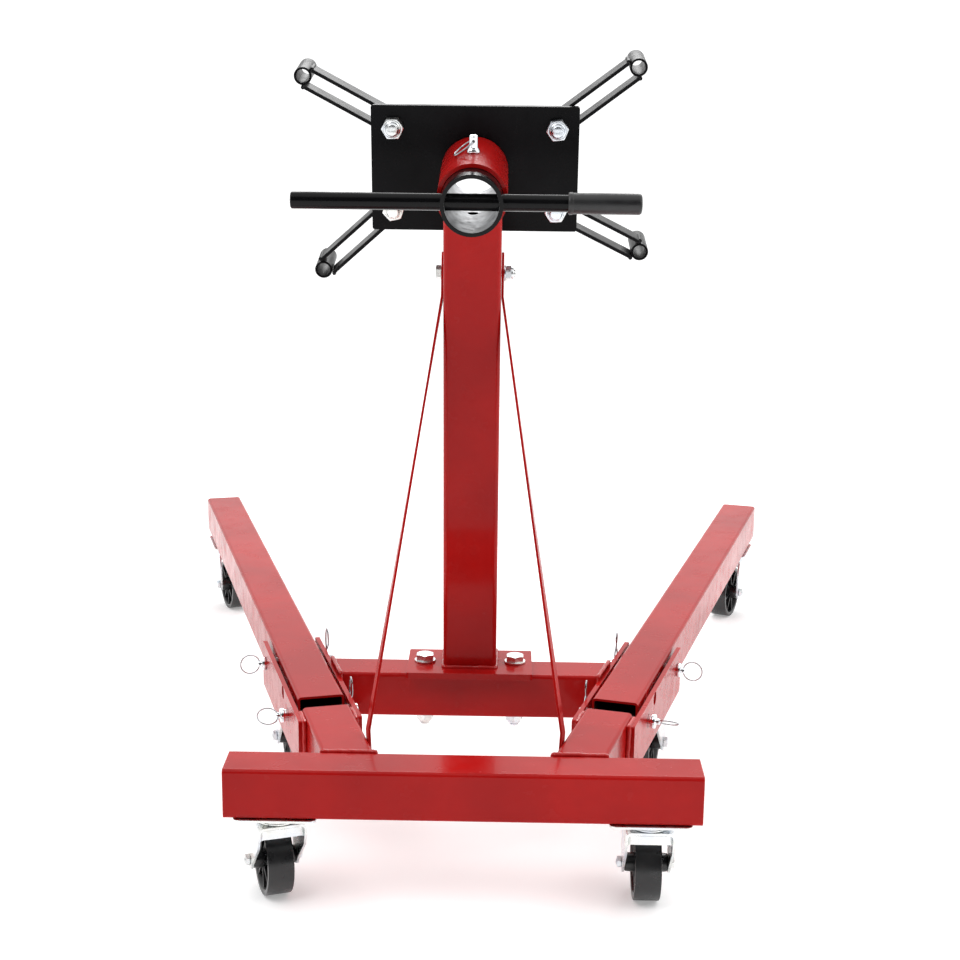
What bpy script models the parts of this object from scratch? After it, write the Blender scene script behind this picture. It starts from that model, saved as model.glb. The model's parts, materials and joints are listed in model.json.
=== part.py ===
"""Folding engine stand: a six-caster base, a leaning post and a turning head with four clamp arms.

Metres, +Z up. The origin is on the floor under the middle of the stand. X runs across the stand, to
the operator's right, and Y runs from the operator towards the engine. Most pieces are first placed
in the deck frame, whose origin is the middle of the operator's face of the rear crossbar, level
with the top of the base tubes. The empty called stand_frame carries the deck frame to its place.
"""

import math

import bmesh
import bpy
from mathutils import Matrix, Vector

# ---- Driving dimensions, metres ----
TUBE = 0.060            # square tube of base and legs, outside
TUBE_WALL = 0.003
TUBE_CORNER = 0.005
DECK_HEIGHT = 0.1755    # top of the base tubes above the floor
CROSSBAR_LENGTH = 0.550
SPLAY = math.radians(15.66)
SIDE_X = 0.1187         # where a side tube's axis would meet the crossbar's operator face
SIDE_TUBE_END = 0.217   # along the side tube's axis, as are the next ones
LEG_START = 0.2535
LEG_END = 1.325
BRACKET_START = 0.185
BRACKET_END = 0.505
PIVOT_ALONG = 0.275     # leg pivot pin
LOCK_ALONG = 0.478      # leg lock pin
STORE_ALONG = 0.315     # empty hole that keeps a folded leg upright
STORE_Z = -0.014
MID_BAR_Y = 0.333       # operator's face of the mid crossbar
LEAN = math.radians(10)
POST = 0.070            # square tube of the post, outside
COLLAR_RADIUS = 0.0415
HEAD_TUBE_RADIUS = 0.0365
PLATE_SIZE = (0.256, 0.156, 0.008)
ARM_BOLT = (0.101, 0.051)
WHEEL_RADIUS = 0.0445
WHEEL_WIDTH = 0.031

# ---- Details ----
GAP = 0.0003            # clearance between two solids that touch on the real stand
BRACKET_INNER = 0.034   # bracket's near face, from the leg's axis
BRACKET_THICKNESS = 0.006
BRACKET_TOP = -0.0055
BRACKET_BOTTOM = -0.0695
PIN_Z = -0.030
PIN_RADIUS = 0.008
PIN_HOLE_RADIUS = 0.00875
POST_FOOT = Vector((0, 0.3694, 0.0142))     # post axis where its operator face meets the foot plate
FOOT_SIZE = (0.165, 0.096, 0.008)
FOOT_Y = 0.361
BASE_BOLT_X = 0.060
HEAD_ALONG_POST = 0.640                     # head axis, from POST_FOOT up the post
HEAD_BEHIND_POST = 0.1003                   # near end of the head tube, from the post's axis
HEAD_TUBE_LENGTH = 0.192
HEAD_TUBE_BORE = 0.03175
COLLAR_SPAN = (0.033, 0.177)                # along the head axis, from the head tube's near end
PLATE_REAR = 0.182
INDEX_ALONG = 0.089
HANDLE_ALONG = 0.018
HANDLE_RADIUS = 0.010
HANDLE_SPAN = (-0.209, 0.1927)
GRIP_SPAN = (0.111, 0.196)
BRACE_WIDTH = 0.016
BRACE_THICKNESS = 0.003
BRACE_TOP_ALONG = 0.531                     # up the post
ARM_GAP = 0.018                             # between the two bars of an arm
ARM_BAR = 0.0045
ARM_DEPTH = 0.030
ARM_TAIL = 0.043                            # inner end of an arm, past its bolt
BOSS_RADIUS = 0.011
BOSS_BORE = 0.00825
BOSS_LENGTH = 0.064
# Boss centre of each arm in the head plate's face: to the operator's right, and up the post.
BOSSES = {
    "upper_left": (-0.211, 0.110),
    "upper_right": (0.198, 0.125),
    "lower_left": (-0.192, -0.134),
    "lower_right": (0.209, -0.1055),
}
CASTER_PLATE = (0.096, 0.066, 0.003)
CASTER_TRAIL = 0.026
AXLE_Z = WHEEL_RADIUS - DECK_HEIGHT
FORK_WIDTH = 0.058
FORK_SHEET = 0.003
FORK_TOP = -0.0702
SKIRT_BOTTOM = -0.0845

# ---- Directions in the deck frame ----
RIGHT = Vector((1, 0, 0))
AWAY = Vector((0, 1, 0))
UP = Vector((0, 0, 1))
HEAD_AXIS = Vector((0, math.cos(LEAN), math.sin(LEAN)))
POST_UP = Vector((0, -math.sin(LEAN), math.cos(LEAN)))
HEAD_ORIGIN = POST_FOOT + POST_UP * HEAD_ALONG_POST - HEAD_AXIS * HEAD_BEHIND_POST

SIDES = {"left": -1, "right": 1}


# ---- Scene and materials ----

def clear_scene():
    """Remove every object of the scene."""
    for old in list(bpy.data.objects):
        bpy.data.objects.remove(old, do_unlink=True)


def add_collection(name):
    """Make a collection in the scene."""
    made = bpy.data.collections.new(name)
    bpy.context.scene.collection.children.link(made)
    return made


clear_scene()
STAND = add_collection("engine_stand")
CUTTERS = add_collection("cutters")

STAND_FRAME = bpy.data.objects.new("stand_frame", None)
STAND_FRAME.location = (0, -(LEG_END * math.cos(SPLAY) + TUBE / 2 * math.sin(SPLAY) - 0.003) / 2,
                        DECK_HEIGHT)
STAND.objects.link(STAND_FRAME)

FINISHES = {
    "red_paint": ((0.60, 0.03, 0.03), 0.25, 0.0),
    "black_paint": ((0.015, 0.015, 0.017), 0.40, 0.0),
    "gloss_black": ((0.010, 0.010, 0.011), 0.18, 0.0),
    "zinc": ((0.72, 0.75, 0.78), 0.30, 1.0),
    "chrome": ((0.85, 0.86, 0.88), 0.12, 1.0),
    "black_rubber": ((0.020, 0.020, 0.021), 0.60, 0.0),
}


def dress(piece, finish):
    """Give the piece its own material in one of the finishes."""
    colour, roughness, metallic = FINISHES[finish]
    material = bpy.data.materials.new(piece.name)
    material.use_nodes = True
    shader = material.node_tree.nodes["Principled BSDF"]
    shader.inputs["Base Color"].default_value = (*colour, 1)
    shader.inputs["Roughness"].default_value = roughness
    shader.inputs["Metallic"].default_value = metallic
    piece.data.materials.clear()
    piece.data.materials.append(material)


# ---- Outlines ----

def circle(radius, centre=(0, 0), steps=12):
    """Points of a circle, anticlockwise."""
    angles = [math.tau * i / steps for i in range(steps)]
    return [(centre[0] + radius * math.cos(a), centre[1] + radius * math.sin(a)) for a in angles]


def rounded_box(x0, x1, y0, y1, radius, steps=2):
    """Points of a rectangle with round corners, anticlockwise."""
    corners = ((x1 - radius, y1 - radius, 0), (x0 + radius, y1 - radius, 1),
               (x0 + radius, y0 + radius, 2), (x1 - radius, y0 + radius, 3))
    points = []
    for x, y, quarter in corners:
        for i in range(steps + 1):
            a = math.pi / 2 * (quarter + i / steps)
            points.append((x + radius * math.cos(a), y + radius * math.sin(a)))
    return points


def hairpin(x0, x1, half_width, steps=6):
    """Points of a strip from x0 to x1 whose end at x0 is a half circle."""
    bend = x0 + half_width
    points = [(x1, -half_width), (x1, half_width)]
    for i in range(steps + 1):
        a = math.pi / 2 + math.pi * i / steps
        points.append((bend + half_width * math.cos(a), half_width * math.sin(a)))
    return points


def square_section(size, wall, corner):
    """Outer and inner outline of a square tube."""
    half, inner = size / 2, size / 2 - wall
    return [rounded_box(-half, half, -half, half, corner),
            rounded_box(-inner, inner, -inner, inner, corner - wall, 1)]


# ---- Solids ----

def axes(origin, x_axis, y_axis):
    """Frame at the origin whose X and Y lie along the two directions."""
    z_axis = x_axis.cross(y_axis)
    frame = Matrix((x_axis, y_axis, z_axis)).transposed().to_4x4()
    frame.translation = origin
    return frame


def add_piece(name, mesh, frame, finish):
    """Link a piece into the stand at a frame of the deck."""
    piece = bpy.data.objects.new(name, mesh)
    STAND.objects.link(piece)
    piece.parent = STAND_FRAME
    piece.matrix_local = frame
    dress(piece, finish)
    return piece


def add_cutter(name, mesh, frame):
    """Link a helper solid, which only shapes other pieces."""
    cutter = bpy.data.objects.new(name, mesh)
    CUTTERS.objects.link(cutter)
    cutter.parent = STAND_FRAME
    cutter.matrix_local = frame
    cutter.hide_render = True
    cutter.display_type = "WIRE"
    return cutter


def extruded(loops, bottom, top):
    """Mesh between two heights over an outline, the first loop, with the other loops as holes."""
    outline = bpy.data.curves.new("outline", "CURVE")
    outline.dimensions = "2D"
    outline.fill_mode = "BOTH"
    outline.extrude = (top - bottom) / 2
    for loop in loops:
        spline = outline.splines.new("POLY")
        spline.points.add(len(loop) - 1)
        for point, (x, y) in zip(spline.points, loop):
            point.co = (x, y, 0, 1)
        spline.use_cyclic_u = True
    guide = bpy.data.objects.new("outline", outline)
    CUTTERS.objects.link(guide)
    graph = bpy.context.evaluated_depsgraph_get()
    mesh = bpy.data.meshes.new_from_object(guide.evaluated_get(graph))
    bpy.data.objects.remove(guide)
    mesh.transform(Matrix.Translation((0, 0, (bottom + top) / 2)))
    weld(mesh)
    return mesh


def weld(mesh):
    """Merge the doubled points of a mesh and turn its faces outwards."""
    work = bmesh.new()
    work.from_mesh(mesh)
    bmesh.ops.remove_doubles(work, verts=work.verts, dist=1e-6)
    bmesh.ops.recalc_face_normals(work, faces=work.faces)
    work.to_mesh(mesh)
    work.free()


def cylinder(radius, bottom, top, steps=16):
    """Mesh of a cylinder along Z."""
    mesh = bpy.data.meshes.new("cylinder")
    work = bmesh.new()
    middle = Matrix.Translation((0, 0, (bottom + top) / 2))
    bmesh.ops.create_cone(work, cap_ends=True, segments=steps, radius1=radius, radius2=radius,
                          depth=top - bottom, matrix=middle)
    work.to_mesh(mesh)
    work.free()
    return mesh


def hexagon(across_flats, bottom, top):
    """Mesh of a hexagonal prism along Z."""
    return cylinder(across_flats / math.sqrt(3), bottom, top, 6)


def turned(name, profile, frame, finish, steps=12, ring=False):
    """Piece turned about Z from a profile of radius and height, which ends on the axis or is a ring."""
    mesh = bpy.data.meshes.new(name)
    work = bmesh.new()
    points = [work.verts.new((radius, 0, height)) for radius, height in profile]
    for first, second in zip(points, points[1:] + points[:1] if ring else points[1:]):
        work.edges.new((first, second))
    work.to_mesh(mesh)
    work.free()
    piece = add_piece(name, mesh, frame, finish)
    turn = piece.modifiers.new("turn", "SCREW")
    turn.steps = turn.render_steps = steps
    turn.use_merge_vertices = not ring
    turn.merge_threshold = 1e-5
    return piece


def change(piece, other, operation="DIFFERENCE"):
    """Cut the piece with another solid, or join that solid to it."""
    step = piece.modifiers.new(operation.lower(), "BOOLEAN")
    step.operation = operation
    step.object = other
    step.solver = "EXACT"


def drill(piece, radius, frame, bottom, top, steps=12):
    """Cut a round hole along Z of the frame."""
    change(piece, add_cutter(f"{piece.name}_drill", cylinder(radius, bottom, top, steps), frame))


def join(piece, mesh, frame):
    """Join a further solid to the piece."""
    change(piece, add_cutter(f"{piece.name}_part", mesh, frame), "UNION")


def move_end(mesh, end, height):
    """Cut an end of a tube along Z at a slant: height gives its Z at a point of the section."""
    for vertex in mesh.vertices:
        if abs(vertex.co.z - end) < 1e-6:
            vertex.co.z = height(vertex.co.x, vertex.co.y)


def bolt(name, frame, shank, washer, head, finish="zinc"):
    """Hex bolt along Z of the frame, with its washer, as (radius, bottom, top) and (flats, ...)."""
    piece = add_piece(name, cylinder(*shank, 12), frame, finish)
    if washer:
        join(piece, cylinder(*washer), frame)
    join(piece, hexagon(*head), frame)
    return piece


# ---- Places ----

def along(side):
    """Direction of a leg, away from the operator."""
    return Vector((side * math.sin(SPLAY), math.cos(SPLAY), 0))


def leg_point(side, distance, height=0.0):
    """Point over a leg's axis in the deck frame."""
    return Vector((side * SIDE_X, 0, height)) + along(side) * distance


def bracket_frame(side, distance, height):
    """Frame with X along the leg, Y up and Z across: outwards on the right, inwards on the left."""
    return axes(leg_point(side, distance, height), along(side), UP)


def head_point(right, up, forward):
    """Point in the deck frame from its place on the head."""
    return HEAD_ORIGIN + RIGHT * right + POST_UP * up + HEAD_AXIS * forward


def head_frame(right, up, forward):
    """Frame on the head with Y up the post and Z along the head's axis to the engine."""
    return axes(head_point(right, up, forward), -RIGHT, POST_UP)


# ---- Base ----

def make_crossbars():
    """The rear crossbar, and the mid crossbar with ends slanted to meet the brackets."""
    middle = Vector((0, TUBE / 2, -TUBE / 2))
    section = square_section(TUBE, TUBE_WALL, TUBE_CORNER)
    half = CROSSBAR_LENGTH / 2
    add_piece("rear_crossbar", extruded(section, -half, half), axes(middle, AWAY, UP), "red_paint")

    middle_y = MID_BAR_Y + TUBE / 2
    reach = BRACKET_INNER + BRACKET_THICKNESS + GAP
    tan, sin, cos = math.tan(SPLAY), math.sin(SPLAY), math.cos(SPLAY)

    def end_x(y, _):
        return SIDE_X + (middle_y + y - reach * sin) * tan - reach * cos

    mesh = extruded(section, -half, half)
    move_end(mesh, half, end_x)
    move_end(mesh, -half, lambda y, z: -end_x(y, z))
    bar = add_piece("mid_crossbar", mesh, axes(Vector((0, middle_y, -TUBE / 2)), AWAY, UP),
                    "red_paint")
    for x in (-BASE_BOLT_X, BASE_BOLT_X):
        drill(bar, 0.0075, axes(Vector((x, FOOT_Y, 0)), RIGHT, AWAY), -TUBE - 0.01, 0.01)


def make_side_tubes():
    """A stub of tube on each side, from the rear crossbar towards the leg."""
    for name, side in SIDES.items():
        mesh = extruded(square_section(TUBE, TUBE_WALL, TUBE_CORNER), 0, SIDE_TUBE_END)
        sin, cos = side * math.sin(SPLAY), math.cos(SPLAY)
        move_end(mesh, 0, lambda x, y, sin=sin, cos=cos: (TUBE + GAP - x * sin) / cos)
        frame = axes(leg_point(side, 0, -TUBE / 2), UP.cross(along(side)), UP)
        add_piece(f"side_tube_{name}", mesh, frame, "red_paint")


def make_brackets():
    """Two plates on each side that hold the leg, with three pin holes each."""
    middle_z = (BRACKET_TOP + BRACKET_BOTTOM) / 2
    half = (BRACKET_TOP - BRACKET_BOTTOM) / 2
    holes = [circle(PIN_HOLE_RADIUS, (distance, z - middle_z)) for distance, z in
             ((PIVOT_ALONG, PIN_Z), (LOCK_ALONG, PIN_Z), (STORE_ALONG, STORE_Z))]
    outline = rounded_box(BRACKET_START, BRACKET_END, -half, half, 0.003)
    for name, side in SIDES.items():
        frame = bracket_frame(side, 0, middle_z)
        for place, sign in (("outer", 1), ("inner", -1)):
            near = side * sign * BRACKET_INNER
            far = side * sign * (BRACKET_INNER + BRACKET_THICKNESS)
            mesh = extruded([outline] + holes, min(near, far), max(near, far))
            add_piece(f"bracket_{place}_{name}", mesh, frame, "red_paint")


def make_legs():
    """The two folding legs, each with its origin on its pivot."""
    for name, side in SIDES.items():
        frame = axes(leg_point(side, PIVOT_ALONG, PIN_Z), UP.cross(along(side)), UP)
        section = square_section(TUBE, TUBE_WALL, TUBE_CORNER)
        mesh = extruded(section, LEG_START - PIVOT_ALONG, LEG_END - PIVOT_ALONG)
        leg = add_piece(f"leg_{name}", mesh, frame, "red_paint")
        for distance in (PIVOT_ALONG, LOCK_ALONG):
            drill(leg, PIN_HOLE_RADIUS, bracket_frame(side, distance, PIN_Z), -TUBE, TUBE)


def make_leg_pins():
    """A pivot pin and a lock pin through each leg. Each has a flange and a small eye outside."""
    tip, flange, head = -0.056, 0.0455, 0.0512
    for name, side in SIDES.items():
        for place, distance, proud in (("pivot", PIVOT_ALONG, 0.004), ("lock", LOCK_ALONG, 0)):
            seat = BRACKET_INNER + BRACKET_THICKNESS + GAP + proud
            profile = [(0, head + proud), (0.0030, head + proud), (0.0042, head + proud - 0.0015),
                       (0.0042, flange + proud), (0.0095, flange + proud), (0.0095, seat),
                       (PIN_RADIUS, seat), (PIN_RADIUS, tip + proud + 0.002),
                       (PIN_RADIUS - 0.002, tip + proud), (0, tip + proud)]
            origin = leg_point(side, distance, PIN_Z)
            outwards = side * along(side).cross(UP)
            frame = axes(origin, UP, outwards.cross(UP))
            turned(f"{place}_pin_{name}", profile, frame, "chrome")


# ---- Casters ----

def make_caster(name, centre, plate_along, trailing):
    """Caster under a tube: plate with raceway, swivelling fork, wheel and axle."""
    length, width, thickness = CASTER_PLATE
    top = -TUBE - GAP
    plate_frame = axes(centre, plate_along, UP.cross(plate_along))
    outline = rounded_box(-length / 2, length / 2, -width / 2, width / 2, 0.008)
    plate = add_piece(f"caster_plate_{name}", extruded([outline], top - thickness, top),
                      plate_frame, "zinc")
    join(plate, cylinder(0.029, -0.0666, top - thickness / 2, 20), plate_frame)

    swivel = axes(centre, trailing.cross(UP), trailing)
    make_fork(f"caster_fork_{name}", swivel)

    axle_centre = centre + trailing * CASTER_TRAIL + UP * AXLE_Z
    axle_frame = axes(axle_centre, trailing, UP)
    rim, hub = WHEEL_WIDTH / 2, 0.0254
    side_profile = [(0.0047, hub), (0.0105, hub), (0.0115, 0.0110), (0.0365, 0.0110),
                    (0.0390, rim), (WHEEL_RADIUS, rim - 0.0008)]
    profile = side_profile + [(r, -h) for r, h in reversed(side_profile)]
    turned(f"caster_wheel_{name}", profile, axle_frame, "black_rubber", 24, ring=True)
    axle = add_piece(f"caster_axle_{name}", cylinder(0.004, -0.0355, 0.0325, 10), axle_frame, "zinc")
    join(axle, hexagon(0.013, -0.0342, -0.0293), axle_frame)
    join(axle, hexagon(0.013, 0.0293, 0.0338), axle_frame)


def make_fork(name, swivel):
    """Pressed fork: its view from the front, cut to its view from the side, and its skirt."""
    half, sheet = FORK_WIDTH / 2, FORK_SHEET
    right_side = [(half, FORK_TOP), (half, -0.146), (half - sheet, -0.146),
                  (half - sheet, FORK_TOP - sheet)]
    front = [(-x, z) for x, z in right_side] + list(reversed(right_side))
    front_frame = swivel @ Matrix.Rotation(math.pi / 2, 4, "X")
    fork = add_piece(name, extruded([front], -0.06, 0.06), swivel, "zinc")
    fork.data.transform(Matrix.Rotation(math.pi / 2, 4, "X"))

    trail, boss = CASTER_TRAIL, 0.012
    lower = [(trail + boss * math.cos(a), AXLE_Z + boss * math.sin(a))
             for a in (math.radians(-160 + 40 * i) for i in range(5))]
    side = [(-0.027, FORK_TOP + 0.001), (-0.027, -0.088)] + lower
    side += [(0.036, -0.100), (0.029, FORK_TOP + 0.001)]
    side_frame = front_frame @ Matrix.Rotation(math.pi / 2, 4, "Y")
    hole = circle(0.0044, (trail, AXLE_Z), 10)
    shape = extruded([side, hole], -0.05, 0.05)
    change(fork, add_cutter(f"{name}_side", shape, side_frame), "INTERSECT")
    join(fork, cylinder(0.027, FORK_TOP - sheet / 2, -0.0669, 20), swivel)
    inner = half - sheet
    skirt = [rounded_box(-half, half, -0.027, 0.027, 0.012, 3),
             rounded_box(-inner, inner, -0.024, 0.024, 0.009, 3)]
    join(fork, extruded(skirt, SKIRT_BOTTOM, FORK_TOP - sheet / 2), swivel)


def make_casters():
    """Six casters: two under the rear crossbar, two between the brackets, two under the leg ends."""
    for name, side in SIDES.items():
        yaw = math.radians(20) if side < 0 else 0
        rear_trail = Vector((side * math.sin(yaw), math.cos(yaw), 0))
        make_caster(f"rear_{name}", Vector((side * 0.216, TUBE / 2, 0)), RIGHT, rear_trail)
        make_caster(f"mid_{name}", leg_point(side, 0.434), along(side), along(side))
        yaw = math.radians(24)
        front_trail = Vector((-side * math.sin(yaw), -math.cos(yaw), 0))
        make_caster(f"front_{name}", leg_point(side, 1.236), along(side), front_trail)


# ---- Post ----

def make_foot():
    """The post's foot plate, and the two bolts down through it and the mid crossbar."""
    width, depth, thickness = FOOT_SIZE
    holes = [circle(0.0075, (x, 0)) for x in (-BASE_BOLT_X, BASE_BOLT_X)]
    outline = rounded_box(-width / 2, width / 2, -depth / 2, depth / 2, 0.003)
    frame = axes(Vector((0, FOOT_Y, GAP)), RIGHT, AWAY)
    add_piece("post_foot_plate", extruded([outline] + holes, 0, thickness), frame, "red_paint")
    top = thickness + GAP
    for name, side in SIDES.items():
        place = axes(Vector((side * BASE_BOLT_X, FOOT_Y, GAP)), RIGHT, AWAY)
        bolt(f"base_bolt_{name}", place, (0.0068, -TUBE - 0.020, top + 0.004),
             (0.014, top, top + 0.0025), (0.022, top + 0.001, top + 0.0105))


def brace_bolt_point():
    """Middle of the bolt that joins both braces to the post."""
    return POST_FOOT + POST_UP * BRACE_TOP_ALONG


def make_post():
    """Leaning post, cut level at its foot and scooped at its top to carry the collar."""
    saddle = COLLAR_RADIUS + GAP
    top = HEAD_ALONG_POST - math.sqrt(saddle ** 2 - (POST / 2) ** 2) + 0.004
    mesh = extruded(square_section(POST, TUBE_WALL, 0.0065), -0.1, top)
    level = FOOT_SIZE[2] + 2 * GAP - POST_FOOT.z
    move_end(mesh, -0.1, lambda x, y: (level - y * math.sin(LEAN)) / math.cos(LEAN))
    post = add_piece("post", mesh, axes(POST_FOOT, RIGHT, HEAD_AXIS), "red_paint")
    drill(post, saddle, head_frame(0, 0, 0), 0, 0.25, 36)
    drill(post, 0.0055, axes(brace_bolt_point(), AWAY, UP), -0.05, 0.05)


def make_braces():
    """Two flat bars from the post's sides down to the side tubes, and the bolt through their tops."""
    for name, side in SIDES.items():
        top = brace_bolt_point() + RIGHT * side * (POST / 2 + GAP + BRACE_THICKNESS / 2)
        inwards = side * UP.cross(along(side))
        bottom = leg_point(side, 0.0975, -0.020)
        bottom += inwards * (TUBE / 2 + GAP + BRACE_THICKNESS / 2)
        make_brace(f"brace_{name}", top, bottom, RIGHT * side, -inwards)
    outside = POST / 2 + 2 * GAP + BRACE_THICKNESS
    place = axes(brace_bolt_point(), AWAY, UP)
    bolt("brace_bolt", place, (0.005, -outside - 0.001, outside + 0.014), None,
         (0.016, -outside - 0.0064, -outside))


def make_brace(name, top, bottom, top_normal, bottom_normal):
    """Flat bar with round ends, flat against both seats and twisted a little between them."""
    rise = (top - bottom).normalized()
    drop_top = (rise - top_normal * rise.dot(top_normal)).normalized()
    drop_bottom = (rise - bottom_normal * rise.dot(bottom_normal)).normalized()
    half = BRACE_WIDTH / 2
    round_end = [(half * math.sin(a), math.cos(a)) for a in
                 (math.radians(80 - 20 * i) for i in range(5))]
    sections = []
    for past, share in round_end:
        sections.append((top + drop_top * (0.018 + past), top_normal, share))
    sections.append((top - drop_top * 0.030, top_normal, 1.0))
    sections.append((bottom + drop_bottom * 0.030, bottom_normal, 1.0))
    for past, share in reversed(round_end):
        sections.append((bottom - drop_bottom * (0.006 + past), bottom_normal, share))

    work = bmesh.new()
    bmesh.ops.create_grid(work, x_segments=2, y_segments=len(sections) - 1, size=1)
    for vertex in work.verts:
        index = round((1 - vertex.co.y) / 2 * (len(sections) - 1))
        centre, normal, share = sections[index]
        across = normal.cross(rise).normalized()
        vertex.co = centre + across * vertex.co.x * half * share
    mesh = bpy.data.meshes.new(name)
    work.to_mesh(mesh)
    work.free()
    piece = add_piece(name, mesh, Matrix(), "red_paint")
    wall = piece.modifiers.new("thickness", "SOLIDIFY")
    wall.thickness = BRACE_THICKNESS
    wall.offset = 0
    drill(piece, 0.0055, axes(brace_bolt_point(), AWAY, UP), -0.05, 0.05)


def make_collar():
    """The tube on the post that the head turns in, with the index pin's hole in its top."""
    rings = [circle(COLLAR_RADIUS, steps=32), circle(HEAD_TUBE_RADIUS + 0.0004, steps=32)]
    collar = add_piece("collar_tube", extruded(rings, *COLLAR_SPAN), head_frame(0, 0, 0), "red_paint")
    drill(collar, 0.0065, axes(head_point(0, 0, INDEX_ALONG), RIGHT, HEAD_AXIS), 0.03, 0.05)


def make_index_pin():
    """The pin in the collar's top, drawn upwards by its ring. It ends short of the head tube."""
    seat = COLLAR_RADIUS + 2 * GAP
    profile = [(0, 0.0625), (0.0040, 0.0625), (0.0052, 0.0610), (0.0052, 0.0475), (0.0066, 0.0465),
               (0.0077, 0.0445), (0.0077, seat), (0.0060, seat), (0.0060, 0.0386),
               (0.0048, 0.0374), (0, 0.0374)]
    frame = axes(head_point(0, 0, INDEX_ALONG), RIGHT, HEAD_AXIS)
    turned("index_pin", profile, frame, "chrome")


# ---- Head ----

def make_head():
    """Head tube with its cross hole and eight index holes, and the head plate."""
    rings = [circle(HEAD_TUBE_RADIUS, steps=32), circle(HEAD_TUBE_BORE, steps=32)]
    tube = add_piece("head_tube", extruded(rings, 0, HEAD_TUBE_LENGTH), head_frame(0, 0, 0),
                     "gloss_black")
    drill(tube, HANDLE_RADIUS + 0.0005, axes(head_point(0, 0, HANDLE_ALONG), HEAD_AXIS, POST_UP),
          -0.05, 0.05, 16)
    for i in range(4):
        turn = Matrix.Rotation(math.pi / 4 * i, 4, "Z") @ Matrix.Rotation(math.pi / 2, 4, "X")
        drill(tube, 0.0065, head_frame(0, 0, INDEX_ALONG) @ turn, -0.05, 0.05, 10)

    width, height, thickness = PLATE_SIZE
    x, y = ARM_BOLT
    loops = [rounded_box(-width / 2, width / 2, -height / 2, height / 2, 0.003),
             circle(HEAD_TUBE_RADIUS + GAP, steps=32)]
    loops += [circle(0.0085, (i * x, j * y)) for i in (-1, 1) for j in (-1, 1)]
    add_piece("head_plate", extruded(loops, PLATE_REAR, PLATE_REAR + thickness),
              head_frame(0, 0, 0), "black_paint")


def make_handle():
    """The turning bar through the head tube and its closed rubber grip."""
    frame = axes(head_point(0, 0, HANDLE_ALONG), HEAD_AXIS, POST_UP)
    add_piece("handle_bar", cylinder(HANDLE_RADIUS, *HANDLE_SPAN), frame, "gloss_black")
    mouth, end = GRIP_SPAN
    outer, inner = HANDLE_RADIUS + 0.00225, HANDLE_RADIUS + GAP
    profile = [(0, end), (outer - 0.001, end), (outer, end - 0.001), (outer, mouth + 0.0005),
               (outer - 0.0005, mouth), (inner, mouth), (inner, end - 0.003), (0, end - 0.003)]
    turned("handle_grip", profile, frame, "black_rubber", 16)


def make_arms():
    """Four clamp arms, each a hairpin of flat bar with a long boss, on a bolt through the plate."""
    front = PLATE_REAR + PLATE_SIZE[2] + GAP
    half = ARM_GAP / 2 + ARM_BAR
    for name, (boss_right, boss_up) in BOSSES.items():
        bolt_right = math.copysign(ARM_BOLT[0], boss_right)
        bolt_up = math.copysign(ARM_BOLT[1], boss_up)
        reach = math.hypot(boss_right - bolt_right, boss_up - bolt_up)
        outwards = (head_point(boss_right, boss_up, front) - head_point(bolt_right, bolt_up, front))
        outwards.normalize()
        frame = axes(head_point(bolt_right, bolt_up, front), outwards, HEAD_AXIS.cross(outwards))
        loops = [hairpin(-ARM_TAIL, reach, half),
                 hairpin(-ARM_TAIL + ARM_BAR, reach - 0.006, ARM_GAP / 2)]
        arm = add_piece(f"arm_{name}", extruded(loops, 0, ARM_DEPTH), frame, "black_paint")
        boss = frame @ Matrix.Translation((reach, 0, 0))
        join(arm, cylinder(BOSS_RADIUS, 0, BOSS_LENGTH), boss)
        drill(arm, BOSS_BORE, boss, -0.01, BOSS_LENGTH + 0.01)
        top = ARM_DEPTH + GAP
        bolt(f"arm_bolt_{name}", frame, (0.008, -PLATE_SIZE[2] - 0.020, top + 0.004),
             (0.0165, top, top + 0.0035), (0.024, top + 0.001, top + 0.0135))


def smooth_round_faces():
    """Shade round faces smooth and keep edges sharp."""
    for piece in STAND.objects:
        if piece.type == "MESH":
            piece.data.shade_smooth()
            piece.data.set_sharp_from_angle(angle=math.radians(30))


def main():
    """Build the stand."""
    make_crossbars()
    make_side_tubes()
    make_brackets()
    make_legs()
    make_leg_pins()
    make_casters()
    make_foot()
    make_post()
    make_braces()
    make_collar()
    make_index_pin()
    make_head()
    make_handle()
    make_arms()
    smooth_round_faces()


main()
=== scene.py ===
"""Folding engine stand with a turning head and four clamp arms, dressed for a studio render.

Metres, in the row frame of the CAD model: +Z up, X to the operator's right, Y from the operator
towards the engine. Every piece is modelled in place and rides on the CAD body that it belongs to.
"""

import json
import logging
import math
from collections.abc import Callable, Sequence
from dataclasses import dataclass
from enum import Enum

import bmesh
import bpy
from mathutils import Matrix, Vector, noise


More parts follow.
